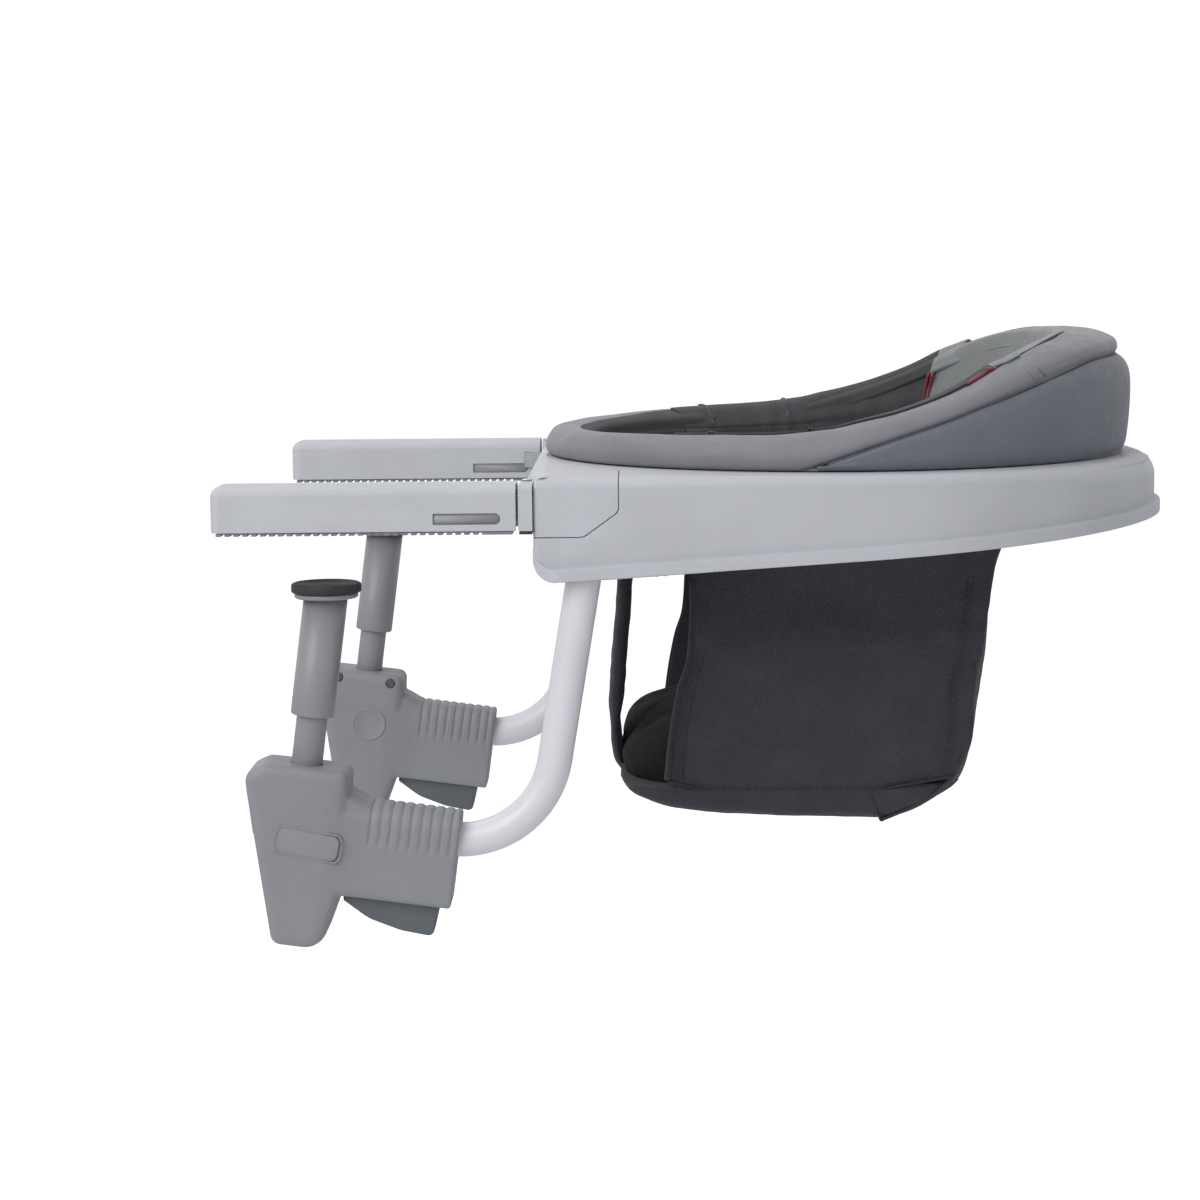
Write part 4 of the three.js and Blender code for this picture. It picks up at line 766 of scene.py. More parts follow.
def base_plan():
    """Points of the base's wall from above, each with its outward direction."""
    half = [((0.0, -y), (-1.0, 0.0)) for y in spread(0, WALL_HALF - PLAN_EDGE, 22)]
    for angle in spread(math.pi, 1.5 * math.pi, 6)[1:]:
        c, s = math.cos(angle), math.sin(angle)
        point = (PLAN_EDGE + PLAN_EDGE * c, -WALL_HALF + PLAN_EDGE + PLAN_EDGE * s)
        half.append((point, (c, s)))
    half += [((float(x), -WALL_HALF), (0.0, -1.0)) for x in PLAN_STATIONS]
    for angle in spread(-math.pi / 2, 0, 48):
        c, s = math.cos(angle), math.sin(angle)
        normal = Vector((c / WALL_BACK, s / WALL_HALF)).normalized()
        half.append(((SEAT_X + WALL_BACK * c, WALL_HALF * s), tuple(normal)))
    other = [((x, -y), (nx, -ny)) for (x, y), (nx, ny) in half[1:-1]]
    return half + other[::-1]


def front_share(x, y):
    """How far the front edge of the deck stands out over the table, from 0 at the arms to 1."""
    return ease(FRONT_END - abs(y), 0, FRONT_EASE) if x < 1 else 0.0


def base_rows(section_at):
    rows = []
    for (x, y), (nx, ny) in base_plan():
        away = Vector((x - SEAT_X, y)).normalized()
        front = front_share(x, y)

        def out(offset, height):
            reach = offset + FRONT_REACH * front * ease(height, FRONT_FOOT, FRONT_FOOT + 3)
            return Vector((x + nx * reach, y + ny * reach, height))

        def well(radius, height):
            return Vector((SEAT_X + away.x * radius, away.y * radius, height))

        rows.append(section_at(x, out, well, front))
    return rows


def base_section(inset, hollow):
    """The base's section: its full skin, or a plain form inside it that cuts or fills it."""
    def section(x, out, well, front):
        low = skirt_at(x) - (6 if inset else 0)
        top = DECK_TOP - inset
        fillet = max(DECK_FILLET + 8 * front + BACK_FILLET * ease(x, 290, 400) - inset, 1.5)
        if inset:
            line = [out(-inset, low), out(-inset, low + BAND_HEIGHT)]
        else:
            proud = BAND_PROUD * limit(x / CORNER_RADIUS, 0.1)
            line = [out(proud - inwards, low + up) for inwards, up in BAND_START]
            line += [out(proud * share, low + BAND_HEIGHT - drop) for share, drop in BAND_EDGE]
            line.append(out(-inset, low + BAND_HEIGHT + 0.8))
        line += [out(-inset, FRONT_FOOT + up) for up in (0, 1.5, 3)]
        for angle in spread(0, math.pi / 2, 7):
            sink = fillet * (1 - math.sin(angle))
            line.append(out(-inset - fillet * (1 - math.cos(angle)), top - sink))
        if hollow:
            line += [
                well(WELL_RADIUS + 1.2, top), well(WELL_RADIUS + 0.35, top - 0.35),
                well(WELL_RADIUS, top - 1.2), well(WELL_RADIUS, WELL_WALL_BOTTOM),
                well(WELL_RADIUS + WALL, WELL_WALL_BOTTOM), well(WELL_RADIUS + WALL, top - WALL),
                out(-WALL, top - WALL), out(-WALL, low),
            ]
        else:
            line += [well(WELL_RADIUS + 8, top), well(WELL_RADIUS + 8, low)]
        return line

    return section


def base_solid(name, inset=0.0, hollow=False):
    return grid(name, base_rows(base_section(inset, hollow)), wrap_rows=True, wrap_columns=True)


def panel_region(play, side):
    """The space that one bracket cover takes on the base."""
    top, end, foot = DECK_TOP + 3, PANEL_END + play, PANEL_FOOT - play
    corners = [
        (-14.0, top, 0.1), (end, top, 0.1), (end, 13.6 - play / 2, 5.0),
        (31 + play / 2, foot, 9.0), (-14.0, foot, 0.1),
    ]
    middle = -0.1 if play else 0.15
    low, high = (middle, HALF_WIDTH + 2) if side > 0 else (-HALF_WIDTH - 2, -middle)
    slab = stack(
        "region", lambda inset: rounded_polygon(corners, inset, 5), [(low, 0), (high, 0)], "y"
    )
    long, wide = (radius - play for radius in PANEL_RING)
    ring = [Vector((SEAT_X + long * c, wide * s)) for c, s in circle(160)]
    return combine(slab, stack("core", lambda inset: ring, [(-80, 0), (80, 0)], "z"))


def bracket_slot(side):
    middle, half = side * SLOT_MIDDLE, SLOT_HALF + SLOT_PLAY
    low, high = 8 - SLOT_PLAY, 24 + SLOT_PLAY
    return block("slot", -3, 15.6 + SLOT_PLAY, middle - half, middle + half, low, high)


def make_base():
    shell = base_solid("base_moulding", hollow=True)
    for side, name in SIDES:
        inner = base_solid("inner", COVER_SKIN)
        combine(shell, combine(panel_region(PANEL_PLAY, side), inner))
        combine(shell, bracket_slot(side))
        cover = base_solid("arm_bracket_panel_" + name)
        combine(cover, panel_region(0.0, side), "INTERSECT")
        combine(cover, base_solid("inner", PANEL_SKIN))
        combine(cover, bracket_slot(side))
        soften(tidy_faces(cover), 0.8)
        dress(cover, "base", PALE, "pale_plastic", "bracket_cover_" + name)
    soften(tidy_faces(shell), 0.5)
    dress(shell, "base", PALE, "pale_plastic", "base_shell")


def make_cover_screws():
    """Small dark screw heads under the front of the base."""
    profile = [(0.9, 0), (1.7, 0.35), (1.9, 1.0), (1.9, 3.2)]
    heads = []
    for y in (-205.0, 205.0):
        for x in (76.0, 81.5):
            heads.append(lathe("head", profile, (x, y, skirt_at(x) - 2.6), (0, 0, 1), 20))
    dress(joined("under_cover_screws", heads), "base", STEEL, "bare_steel")


# Arms
def arm_slot(y0, y1, play, radius):
    """The long slot on one side of an arm, or with play a thin plate on its floor that carries the
    slot's painted shade.
    """
    x0, x1, z0, z1 = ARM_SLOT
    outline = rectangle(x0 + play, x1 - play, z0 + play, z1 - play, [0.8, radius, radius, 0.8], 6)
    return stack("slot", outline, [(y0, 0), (y1, 0)], "y")


def make_arms():
    x0, x1 = -ARM_REACH, -ARM_ROOT
    cover = stack(
        "table_arm_right",
        rectangle(x0, x1 + 12, ARM_INNER, ARM_OUTER, [7.0, 2.0, 2.0, 7.0], 8),
        rounded_levels(ARM_FLOOR, ARM_TOP, 0.6, 6.5, 7), "z",
    )
    for tool in (
        block(
            "cavity", x0 + ARM_WALL, x1 + 2, ARM_INNER + ARM_WALL, ARM_OUTER - ARM_WALL, 0,
            ARM_CEILING,
        ),
        block("root", x1, x1 + 20, ARM_INNER - 5, ARM_OUTER + 5, -5, ARM_TOP + 5),
        block("notch", x1 - 12.3, 0, 187, 195.7, 10.1, 21.9),
        arm_slot(185.0, 190.4, 0, 3.4), arm_slot(222.6, 228.0, 0, 3.4),
    ):
        combine(cover, tool)
    soften(tidy_faces(cover), 0.35)
    # Thin darker plates on the slot floors: painted shade for the recesses
    shade_plates = [arm_slot(190.2, 190.6, 0.2, 3.2), arm_slot(222.4, 222.8, 0.2, 3.2)]
    shade_plates = joined("arm_slot_shade_plates_right", shade_plates)
    both_sides(cover, "table_arm", "arm", PALE, "pale_plastic", "arm_cover")
    both_sides(shade_plates, "arm_slot_shade_plates", "arm", SLOT_PAINTED_SHADE, "pale_plastic")


# Tubes and clamps
def along_lean(height):
    return TUBE_AXIS[0] + (height - TUBE_AXIS[1]) * math.tan(TUBE_LEAN)


BEND_START = Vector((along_lean(BEND_TOP), BEND_TOP))
BEND_CENTRE = BEND_START + BEND_RADIUS * Vector((-math.cos(TUBE_LEAN), math.sin(TUBE_LEAN)))
BEND_END = BEND_CENTRE - BEND_RADIUS * Vector((math.sin(CLAMP_TILT), math.cos(CLAMP_TILT)))
CLAMP = BEND_END + GRIP_REACH * Vector((-math.cos(CLAMP_TILT), math.sin(CLAMP_TILT)))
UP_ROD = (math.sin(CLAMP_TILT), math.cos(CLAMP_TILT))


def to_clamp(obj):
    """Moves a piece from the clamp's own upright frame to the chair's, on the right side."""
    turn = Matrix.Rotation(CLAMP_TILT, 4, "Y")
    obj.data.transform(Matrix.Translation(Vector((CLAMP.x, TUBE_Y, CLAMP.y)) * MM) @ turn)
    return obj


def both_sides(piece, base_name, body, paint, slot, *nodes):
    """Dresses a piece made for the right side and its mirrored twin."""
    twin = mirrored(piece, base_name + "_left")
    for obj, side in ((piece, "_right"), (twin, "_left")):
        name = body if body in frame["bodies"] else body + side
        dress(obj, name, paint, slot, *[n + side for n in nodes])
    return piece, twin


def make_tubes():
    line = [(along_lean(height), height) for height in spread(TUBE_TOP, BEND_TOP, 14)[:-1]]
    for bent in spread(0, math.pi / 2 - TUBE_LEAN + CLAMP_TILT, 40):
        c, s = math.cos(TUBE_LEAN + bent), math.sin(TUBE_LEAN + bent)
        line.append((BEND_CENTRE.x + BEND_RADIUS * c, BEND_CENTRE.y - BEND_RADIUS * s))
    for past in spread(0, GRIP_REACH - 38, 5)[1:]:
        line.append((BEND_END.x - past * UP_ROD[1], BEND_END.y + past * UP_ROD[0]))
    tube = sweep("reach_tube_right", vectors((x, TUBE_Y, z) for x, z in line), TUBE_RADIUS, 40)
    soften(tube, 0.6, 50)
    both_sides(tube, "reach_tube", "clamp", TUBE_PAINT, "painted_tube", "j_tube")


def clamp_blank():
    """The clamp's outer form, head and grip melted into one."""
    head = stack(
        "head", lambda inset: rounded_polygon(HEAD, inset, 8),
        rounded_levels(-HEAD_HALF, HEAD_HALF, 6, 6), "y",
    )
    grip = stack(
        "grip", lambda inset: rounded_polygon(GRIP, inset, 8),
        [(-6, 6), (0, 0), (GRIP_END - 1.5, 0), (GRIP_END - 0.5, 0.5), (GRIP_END, 1.5)], "x",
    )
    blank = joined("blank", [head, grip])
    modify(blank, "REMESH", mode="VOXEL", voxel_size=0.85 * MM)
    modify(blank, "SMOOTH", factor=0.5, iterations=8)
    settle(blank)
    soft_corner(blank)
    rib(blank)
    return blank


def soft_corner(obj):
    """Narrows the grip from the head on, and fills the inner corner above it with a soft fillet."""
    for vertex in obj.data.vertices:
        x, y, z = vertex.co / MM
        vertex.co.y *= mix(1, GRIP_HALF / HEAD_HALF, ease(x, 14, 46))
        if 27 < x < 46 and z > 14:
            vertex.co.z += 5.0 * ease(46 - x, 0, 17) * (1 - ease(z - 18.5, 0, 10)) * MM


def rib(obj):
    """Presses soft grooves round the top and sides of the grip."""
    obj.data.update()
    normals = [v.normal.copy() for v in obj.data.vertices]
    for vertex, normal in zip(obj.data.vertices, normals):
        x, _, z = vertex.co / MM
        if x < 42 or x > GRIP_END - 2.5:
            continue
        step = ((GRIP_END - x) / 6.4 - 0.75) % 1.0
        groove = math.exp(-((min(step, 1 - step) * 6.4 / 1.05) ** 2))
        share = ease(z, -11, -3) * ease(x, 42, 46) * (1 - abs(normal.x))
        vertex.co -= normal * (groove * 1.0 * share * MM)


def make_clamp_covers():
    blank = clamp_blank()
    core_outline = rounded_polygon(HEAD, 3.6, 4)
    tools = [
        stack("core", lambda inset: core_outline, [(-HEAD_PLANE, 0), (HEAD_PLANE, 0)], "y"),
        rod_between("bore", (36, 0, 0), (GRIP_END + 3, 0, 0), TUBE_RADIUS + 0.35),
        rod_between("hole", (0, 0, 0), (0, 0, 46), 10.3),
        stack("pocket", rectangle(0, 98.2, -40, -13.4, [1] * 4, 2), [(-10, 0), (10, 0)], "y"),
        button_block("window", 0.35, 0.0),
    ]
    for x in SCREW_X:
        tools.append(rod_between("sink", (x, -30, SCREW_Z), (x, -19.7, SCREW_Z), 3.7, 24))
        tools.append(rod_between("shank", (x, -30, SCREW_Z), (x, 2, SCREW_Z), 2.1, 16))
    for tool in tools:
        combine(blank, tool)
    halves = []
    for name, low, high in (("outer", 0.15, 60.0), ("inner", -60.0, -0.15)):
        half = place("clamp_shell_" + name + "_right", blank.data.copy())
        combine(half, block("side", -120, 160, low, high, -140, 120), "INTERSECT")
        halves.append((name, to_clamp(half)))
    bpy.data.objects.remove(blank)
    for name, half in halves:
        for polygon in half.data.polygons:
            polygon.use_smooth = True
        half.data.set_sharp_from_angle(angle=math.radians(40))
        node = "clamp_cover_" + name
        both_sides(half, "clamp_shell_" + name, "clamp", GREY, "grey_plastic", node)


def button_block(name, play, flange):
    """The release button, its hidden flange, or with play the window that it moves in."""
    half, width = 8.5 + flange + play, 7.5 + flange + play
    out = -4.0 if flange else 1.8 + (2.0 if play else 0.0)
    levels = [(-out, 0.6 if not play else 0), (-out + 0.8, 0), (6.0, 0)]
    obj = stack(name, rectangle(-width, width, -half, half, [1.6] * 4, 4), levels, "x")
    slope = Matrix.Rotation(-BUTTON_SLOPE, 4, "Y")
    obj.data.transform(Matrix.Translation(Vector(BUTTON_AT) * MM) @ slope)
    return obj


def badge_path():
    """The line of the badge's frame on the clamp's outer face, bowed and slightly turned."""
    turn = Matrix.Rotation(-math.radians(3.5), 2)
    middle_x, middle_z = BADGE_MIDDLE
    path = []
    for p in rectangle(*BADGE, [4.0] * 4, 8)():
        bow = BADGE_LIFT * math.cos((p.x - middle_x) / 19 * math.pi / 2)
        turned = turn @ Vector((p.x - middle_x, p.y - middle_z))
        height = turned.y + middle_z + (bow if p.y > -10 else -bow)
        path.append(Vector((turned.x + middle_x, HEAD_HALF - 0.05, height)))
    return through(path, 2, closed=True)


def make_clamp_details():
    button = [button_block("key", 0, 0), button_block("flange", 0, 2.0)]
    button = soften(joined("release_key_right", button), 0.3)
    both_sides(
        to_clamp(button), "release_key", "release_button", GREY, "grey_plastic", "release_button"
    )
    path = badge_path()
    inner = [Vector((p.x, p.z)) for p in path]
    middle = sum(inner, Vector((0, 0))) / len(inner)
    details = {
        "badge_frame": lambda name: sweep(name, path, 0.55, 10, closed=True),
        "badge_plate": lambda name: stack(
            name, lambda inset: [middle + (p - middle) * (0.9 - inset) for p in inner],
            [(HEAD_HALF - 0.5, 0), (HEAD_HALF, 0), (HEAD_HALF + 0.08, 0.012)], "y",
        ),
        "grip_disc": lambda name: lathe(
            name,
            [(13.0, -0.4), (13.0, 0.35), (12.7, 0.65), (11.9, 0.7), (11.5, 0.4), (11.3, 0.3),
             (0.5, 0.34)],
            (6, -HEAD_HALF + 0.02, -2), (0, -1, 0),
        ),
    }
    for name, make in details.items():
        both_sides(to_clamp(make(name + "_right")), name, "clamp", GREY, "grey_plastic")


def make_lever():
    lever = stack(
        "squeeze_handle_right", lambda inset: rounded_polygon(LEVER, inset, 6),
        rounded_levels(-9.5, 9.5, 1.8, 1.8, 3), "y",
    )
    names = ("squeeze_handle", "lever", LEVER_GREY, "lever_plastic", "squeeze_lever")
    for piece in both_sides(to_clamp(lever), *names):
        soften(piece, 0.4, 40)


def foot_point(height):
    """A point on the rod's axis at a height in the chair's frame."""
    reach = (height - CLAMP.y) / UP_ROD[1]
    return Vector((CLAMP.x + reach * UP_ROD[0], TUBE_Y, height))


def rod_point(reach):
    """A point on the rod's axis at a distance up from the clamp's middle."""
    return Vector((CLAMP.x + reach * UP_ROD[0], TUBE_Y, CLAMP.y + reach * UP_ROD[1]))


def make_rods():
    rod = rod_between("clamp_post_right", rod_point(-24), foot_point(-51.0), 9.8, 56, 0.5)
    both_sides(rod, "clamp_post", "clamp_rod", ROD_PAINT, "rod_paint", "clamp_rod")
    low, high = rod_point(67.8), foot_point(-39.0)
    length = (high - low).length
    sleeve = lathe(
        "post_sleeve",
        [(10.2, 0.3), (13.0, 0), (13.6, 0.4), (13.8, 1.2), (13.8, length), (10.2, length)],
        low, high - low,
    )
    x, upright = foot_point(FOOT_HEIGHT).x, (0, 0, 1)
    cup = [(14.5, 0), (19.0, 0.3), (20.0, 1.2), (20.0, 3.2), (19.5, 3.5)]
    cup = lathe("cup", cup, (x, TUBE_Y, CUP_HEIGHT), upright, 72)
    sleeve = joined("post_sleeve_right", [sleeve, cup])
    both_sides(sleeve, "post_sleeve", "clamp_rod", ROD_PAINT, "rod_paint", "foot_sleeve")
    rings = [(18.6, 18.2), (15.2, 14.8), (11.8, 11.4), (8.0, 7.6)]
    profile = [(21.2, 0), (22.0, 0.8), (22.0, 4.5), (21.5, 5.5), (20.5, 6.0)]
    for outer, inner in rings:
        profile += [(outer, 6.0), (inner, 5.5)]
    profile.append((0.5, 6.0))
    pad = lathe("grip_foot_right", profile, (x, TUBE_Y, FOOT_HEIGHT), upright, 72)
    both_sides(pad, "grip_foot", "clamp_rod", RUBBER, "black_rubber", "foot_pad")


# Seat
def crest_at(angle):
    return mix(CREST_LOW, CREST_HIGH, table_at(CREST, abs(angle) / math.pi))


def seam_at(angle):
    return mix(RIM_SKIRT, SEAM_HIGH, limit(table_at(SEAM, abs(angle) / math.pi)))


def back_at(angle):
    return 1 - ease(abs(angle), math.pi / 18, math.pi / 2)


def rim_inner_at(angle):
    return mix(*RIM_INNER, back_at(angle))


def ring_angles(count):
    return spread(-math.pi, math.pi, count)[:-1]


def wobble(point, size, seed=0.0):
    """A soft seeded wave between -1 and 1 at a point."""
    return noise.noise(Vector(point) / size + Vector((seed, seed * 1.7, -seed)))


def rim_section(angle):
    back, seam, crest = back_at(angle), seam_at(angle), crest_at(angle)
    low = max(PAD_SEAT, seam)
    outer, inner = mix(RIM_OUTER, RIM_BACK, back), rim_inner_at(angle)
    top = mix(*RIM_TOP, back)
    tall, width = crest - low, outer - inner
    skirt = low if seam > PAD_SEAT else mix(RIM_SKIRT, low, ease(seam, RIM_SKIRT, PAD_SEAT))
    return vectors((
        (inner + width * 0.04, low), (mix(FLANGE, outer - 4, back), low),
        (mix(195.9, outer - 2.2, back), skirt), (outer - 0.7, max(RIM_SKIRT, seam) + tall * 0.1),
        (outer, low + tall * 0.3), (outer - width * 0.06, low + tall * 0.62),
        (mix(outer, top, 0.45), low + tall * 0.88), (top, crest),
        (mix(inner, top, 0.5), crest - tall * 0.07), (inner + width * 0.03, crest - tall * 0.28),
        (inner - 0.6, crest - tall * 0.6),
    ))


def piping_at(height):
    """The piping's angle at a height: it leans back from the lining's foot to the rim's crest."""
    return PIPE_ANGLE - PIPE_LEAN * limit((height - PAD_SEAT) / (crest_at(PIPE_ANGLE) - PAD_SEAT))


def bent_to_piping(angle, height):
    """Moves an angle near the piping so that the mesh has an edge along it."""
    near = math.exp(-(((abs(angle) - PIPE_ANGLE) / math.radians(9)) ** 2))
    return angle + (piping_at(height) - PIPE_ANGLE) * near * (1 if angle > 0 else -1)


def respaced(line, start, end, first, share):
    """Moves the points of a stretch of a line so that the first few take a share of its length."""
    stretch = line[start:end + 1]
    total = sum((b - a).length for a, b in zip(stretch, stretch[1:]))
    count = end - start
    for i in range(1, count):
        if i <= first:
            target = total * share * i / first
        else:
            target = total * mix(share, 1, (i - first) / (count - first))
        run = 0.0
        for a, b in zip(stretch, stretch[1:]):
            step = (b - a).length
            if run + step >= target:
                line[start + i] = a.lerp(b, (target - run) / step)
                break
            run += step
    return line


def rim_line(angle):
    """The rim's full section, with its lining's upper edge at the same point all round."""
    line = through(rim_section(angle), 4, closed=True)
    bare = mix(0.03, 0.45, ease(abs(angle), math.radians(104), math.radians(160)))
    return respaced(line, RIM_CREST, RIM_CREST + 12, 2, bare)


def rim_row(angle):
    row = []
    for i, p in enumerate(rim_line(angle)):
        turned = angle
        if i > RIM_CREST and abs(abs(angle) - PIPE_ANGLE) < FOLD_BAND:
            turned = bent_to_piping(angle, p.y)
            p = rim_line(turned)[i]
        fold = 0.0
        if i > RIM_CREST + 2:
            fold = lining_folds(abs(angle), p.y) * ease(i, RIM_CREST + 2, RIM_CREST + 7)
        point = polar(p.x - fold, turned, p.y)
        swell = wobble(point, 34, 2.0) * 0.7 + wobble(point, 12, 5.0) * 0.22
        row.append(point + outward(angle, 0.6) * swell * limit((p.y - PAD_SEAT) / 12))
    return row


def make_rim():
    angles = ring_angles(180)
    rim = grid("padded_rim", [rim_row(a) for a in angles], wrap_rows=True, wrap_columns=True)
    dress(rim, "seat", RIM_LEATHER, "rim_leather", "rim_pad")
    rim.data.materials.append(LINING)
    rim.data.materials.append(PAD_LEATHER)
    for polygon in rim.data.polygons:
        row, column = divmod(polygon.index, RIM_POINTS)
        if column >= RIM_CREST + 2:
            on_pad = abs(angles[row] + math.radians(1)) < PIPE_ANGLE
            polygon.material_index = 2 if on_pad else 1


def side_section(angle):
    top = max(seam_at(angle) - 1.0, PAD_SEAT + 0.6)
    back = back_at(angle)
    outer = mix(RIM_OUTER, RIM_OUTER - 0.5, back)
    edge = mix(RIM_OUTER, 193.0, back) - 1.5
    tall = top - PAD_SEAT
    swell = 0.96 * back
    return vectors((
        (PANEL_INNER, PAD_SEAT), (mix(FLANGE, 190.5, back), PAD_SEAT),
        (mix(195.6, RIM_BACK, back), 35.7),
        (outer - mix(1.6, 5.0, back), 36.0), (outer - 1.2 * back, PAD_SEAT + tall * 0.1),
        (outer + swell, PAD_SEAT + tall * 0.45), (outer + swell * 0.6, PAD_SEAT + tall * 0.78),
        (mix(outer, edge, 0.35), PAD_SEAT + tall * 0.93), (edge, top), (PANEL_INNER, top),
    ))


def make_side_panel():
    rows = []
    for angle in spread(-PANEL_SWEEP, PANEL_SWEEP, 132):
        section = side_section(angle)
        row = []
        for p in [section[0]] + through(section[1:9], 4) + [section[9]]:
            point = polar(p.x, angle, p.y)
            amount = wobble(point, 40, 9.0) * 0.8 + wobble(point, 14, 4.0) * 0.2
            fade = limit((p.x - 190) / 8) * limit((p.y - 36) / 6)
            row.append(point + outward(angle) * amount * fade)
        rows.append(row)
    panel = grid("shell_cover", rows, wrap_columns=True, caps=True)
    dress(panel, "seat", SIDE_LEATHER, "side_leather", "side_panel")


def back_face(angle, height):
    low = min(BACK_FLAT / math.cos(angle), LINING_RADIUS - 0.3)
    share = limit((height + 10) / (PAD_SEAT + 10))
    return mix(low, LINING_RADIUS - 0.3, share * mix(0.55, 1, limit(abs(angle) / BACK_SWEEP)))


def back_pad_section(angle):
    """The cushion's section, from the rim's crest down its face to its foot and up its back."""
    top, crest = seam_at(angle) - 1.2, crest_at(angle)
    edge = (abs(angle) / PAD_SWEEP) ** 4
    crown, thick = 5 * (1 - edge), mix(9.0, 4.8, edge)
    foot = mix(-10.0, 26.0, ease(abs(angle), BACK_SWEEP, BACK_SWEEP + 0.06))
    low, high = back_face(angle, foot), back_face(angle, PAD_SEAT)
    inner = rim_inner_at(angle) - 1
    section = rim_section(angle)
    front = [Vector((p.x - 1.4, p.y + 0.4)) for p in through(section[7:11], 4)[1:12:3]]
    front += vectors((
        (mix(high - thick, inner, 0.5) - crown, mix(PAD_SEAT, top, 0.5)),
        (high - thick - crown, PAD_SEAT),
        (mix(low, high, 0.5) - thick - crown, mix(foot, PAD_SEAT, 0.5)), (low - thick, foot),
    ))
    return through(front, 6) + vectors((
        (low, foot), (high, PAD_SEAT), (PAD_BACK, mix(PAD_SEAT, top, 0.45)),
        (PAD_BACK, mix(top, crest, 0.6)), (section[7].x, crest - 2.0),
    ))


def make_back_pad():
    rows = []
    for angle in spread(-PAD_SWEEP, PAD_SWEEP, 64):
        row = []
        for p in back_pad_section(angle):
            point = polar(p.x, bent_to_piping(angle, p.y), p.y)
            row.append(point - outward(angle) * (wobble(point, 30, 3.0) * 0.9 if p.x < 168 else 0))
        rows.append(row)
    pad = grid("back_cushion", rows, wrap_columns=True, caps=True)
    dress(pad, "seat", PAD_LEATHER, "pad_leather", "backrest_pad")


# Bag
def lining_folds(angle, height):
    """How far the lining stands in from its round, for seams and gathers."""
    depth = 0.0
    for centre, width, size, lean in FOLDS:
        away = math.degrees(angle) - centre - lean * (height - 40)
        depth += size * math.exp(-((away / width) ** 2))
    return depth


def wall_y(share, height):
    """How far out the bag's side stands, at a share of the way from its front to its back."""
    return WALL_Y + WALL_SWELL * math.sin(math.pi * share) * ease(height, -178, -120)


def bag_side_rows():
    angles = spread(WALL_START, BACK_SWEEP + 0.3 / LINING_RADIUS, WALL_COLUMNS)

    def arc(radius_at, height_at, fold):
        row = []
        for angle in angles:
            high = height_at(angle)
            turned = bent_to_piping(angle, high) if high > PAD_SEAT - 1 else angle
            radius, height = radius_at(turned), height_at(turned)
            row.append(polar(radius - fold * lining_folds(angle, height), turned, height))
        return row

    def line(height):
        x0, x1 = table_at(BAG_FRONT, height), table_at(BAG_BACK, height)
        shares = spread(0, 1, WALL_COLUMNS)
        return [Vector((mix(x0, x1, share), wall_y(share, height), height)) for share in shares]

    def on_rim(index, fold):
        row = []
        for angle in angles:
            turned = bent_to_piping(angle, rim_line(angle)[index].y)
            p = rim_line(turned)[index]
            proud = mix(-1.0, 1.7, ease(WALL_START - angle, 0, 0.2))
            proud = mix(-3.5, proud, ease(angle - PIPE_ANGLE, -0.1, 0.0))
            row.append(polar(p.x - proud - fold * lining_folds(angle, p.y), turned, p.y))
        return row

    def inside(share):
        return (
            lambda a: mix(
                168.4, mix(rim_inner_at(a) - 1.5, LINING_RADIUS, share),
                ease(WALL_START - a, 0, 0.2),
            ),
            lambda a: mix(crest_at(a) - LINING_DROP, PAD_SEAT, share), 1.0,
        )

    rows = [on_rim(RIM_CREST + 2, 0.7), on_rim(RIM_CREST + 6, 1.0)]
    rows += [arc(*inside(share)) for share in (0.33, 0.66)]
    for gap, height, fold in ((0.4, PAD_SEAT, 0.9), (0.4, 18.0, 0.6), (0.6, 0.0, 0.3)):
        rows.append(arc(lambda a: LINING_RADIUS - gap, lambda a: height, fold))
    rows += [line(height) for height in (-50.0, -82.0, -114.0, -146.0)]
    rows.append([Vector((p.x, p.y, table_at(BAG_SEAM, p.x))) for p in line(-176.0)])
    return rows


def crumple(point, share):
    """Creases of the bag's side, and puckers and a pull along its rear seam."""
    x, z = point.x, point.z
    away = (1 - share) * 190
    seam = math.exp(-((away / 9) ** 2))
    crease = wobble((x, z * 0.8, 0), 38, 7.0) * 1.8 + wobble((x, z, 3), 13, 1.0) * 0.5
    pucker = math.sin(z / 1.9) * 0.7 * seam + math.sin(z / 4.7 + 1) * 0.9 * seam
    pull = 2.2 * math.exp(-(((away - 26) / 16) ** 2)) * wobble((z, 0, 0), 9, 3.0)
    return ease(-z, 20, 60) * (crease + pucker + pull)


def make_bag_sides():
    columns = [through(list(column), 6) for column in zip(*bag_side_rows())]
    rows = [list(row) for row in zip(*columns)]
    for row in rows:
        for j, point in enumerate(row):
            point.y += crumple(point, j / WALL_COLUMNS)
    side = thicken(grid("bag_wall_right", rows), 1.5, 1.0)
    for wall in both_sides(side, "bag_wall", "seat", CLOTH, "black_cloth", "bag_side"):
        wall.data.materials.append(LINING)
        wall.data.materials.append(PAD_LEATHER)
        for polygon in wall.data.polygons:
            x, y, z = polygon.center / MM
            past = math.atan2(abs(y), x - SEAT_X) < piping_at(z)
            polygon.material_index = 0 if z < 0 else 2 if past and z > PAD_SEAT - 25 else 1


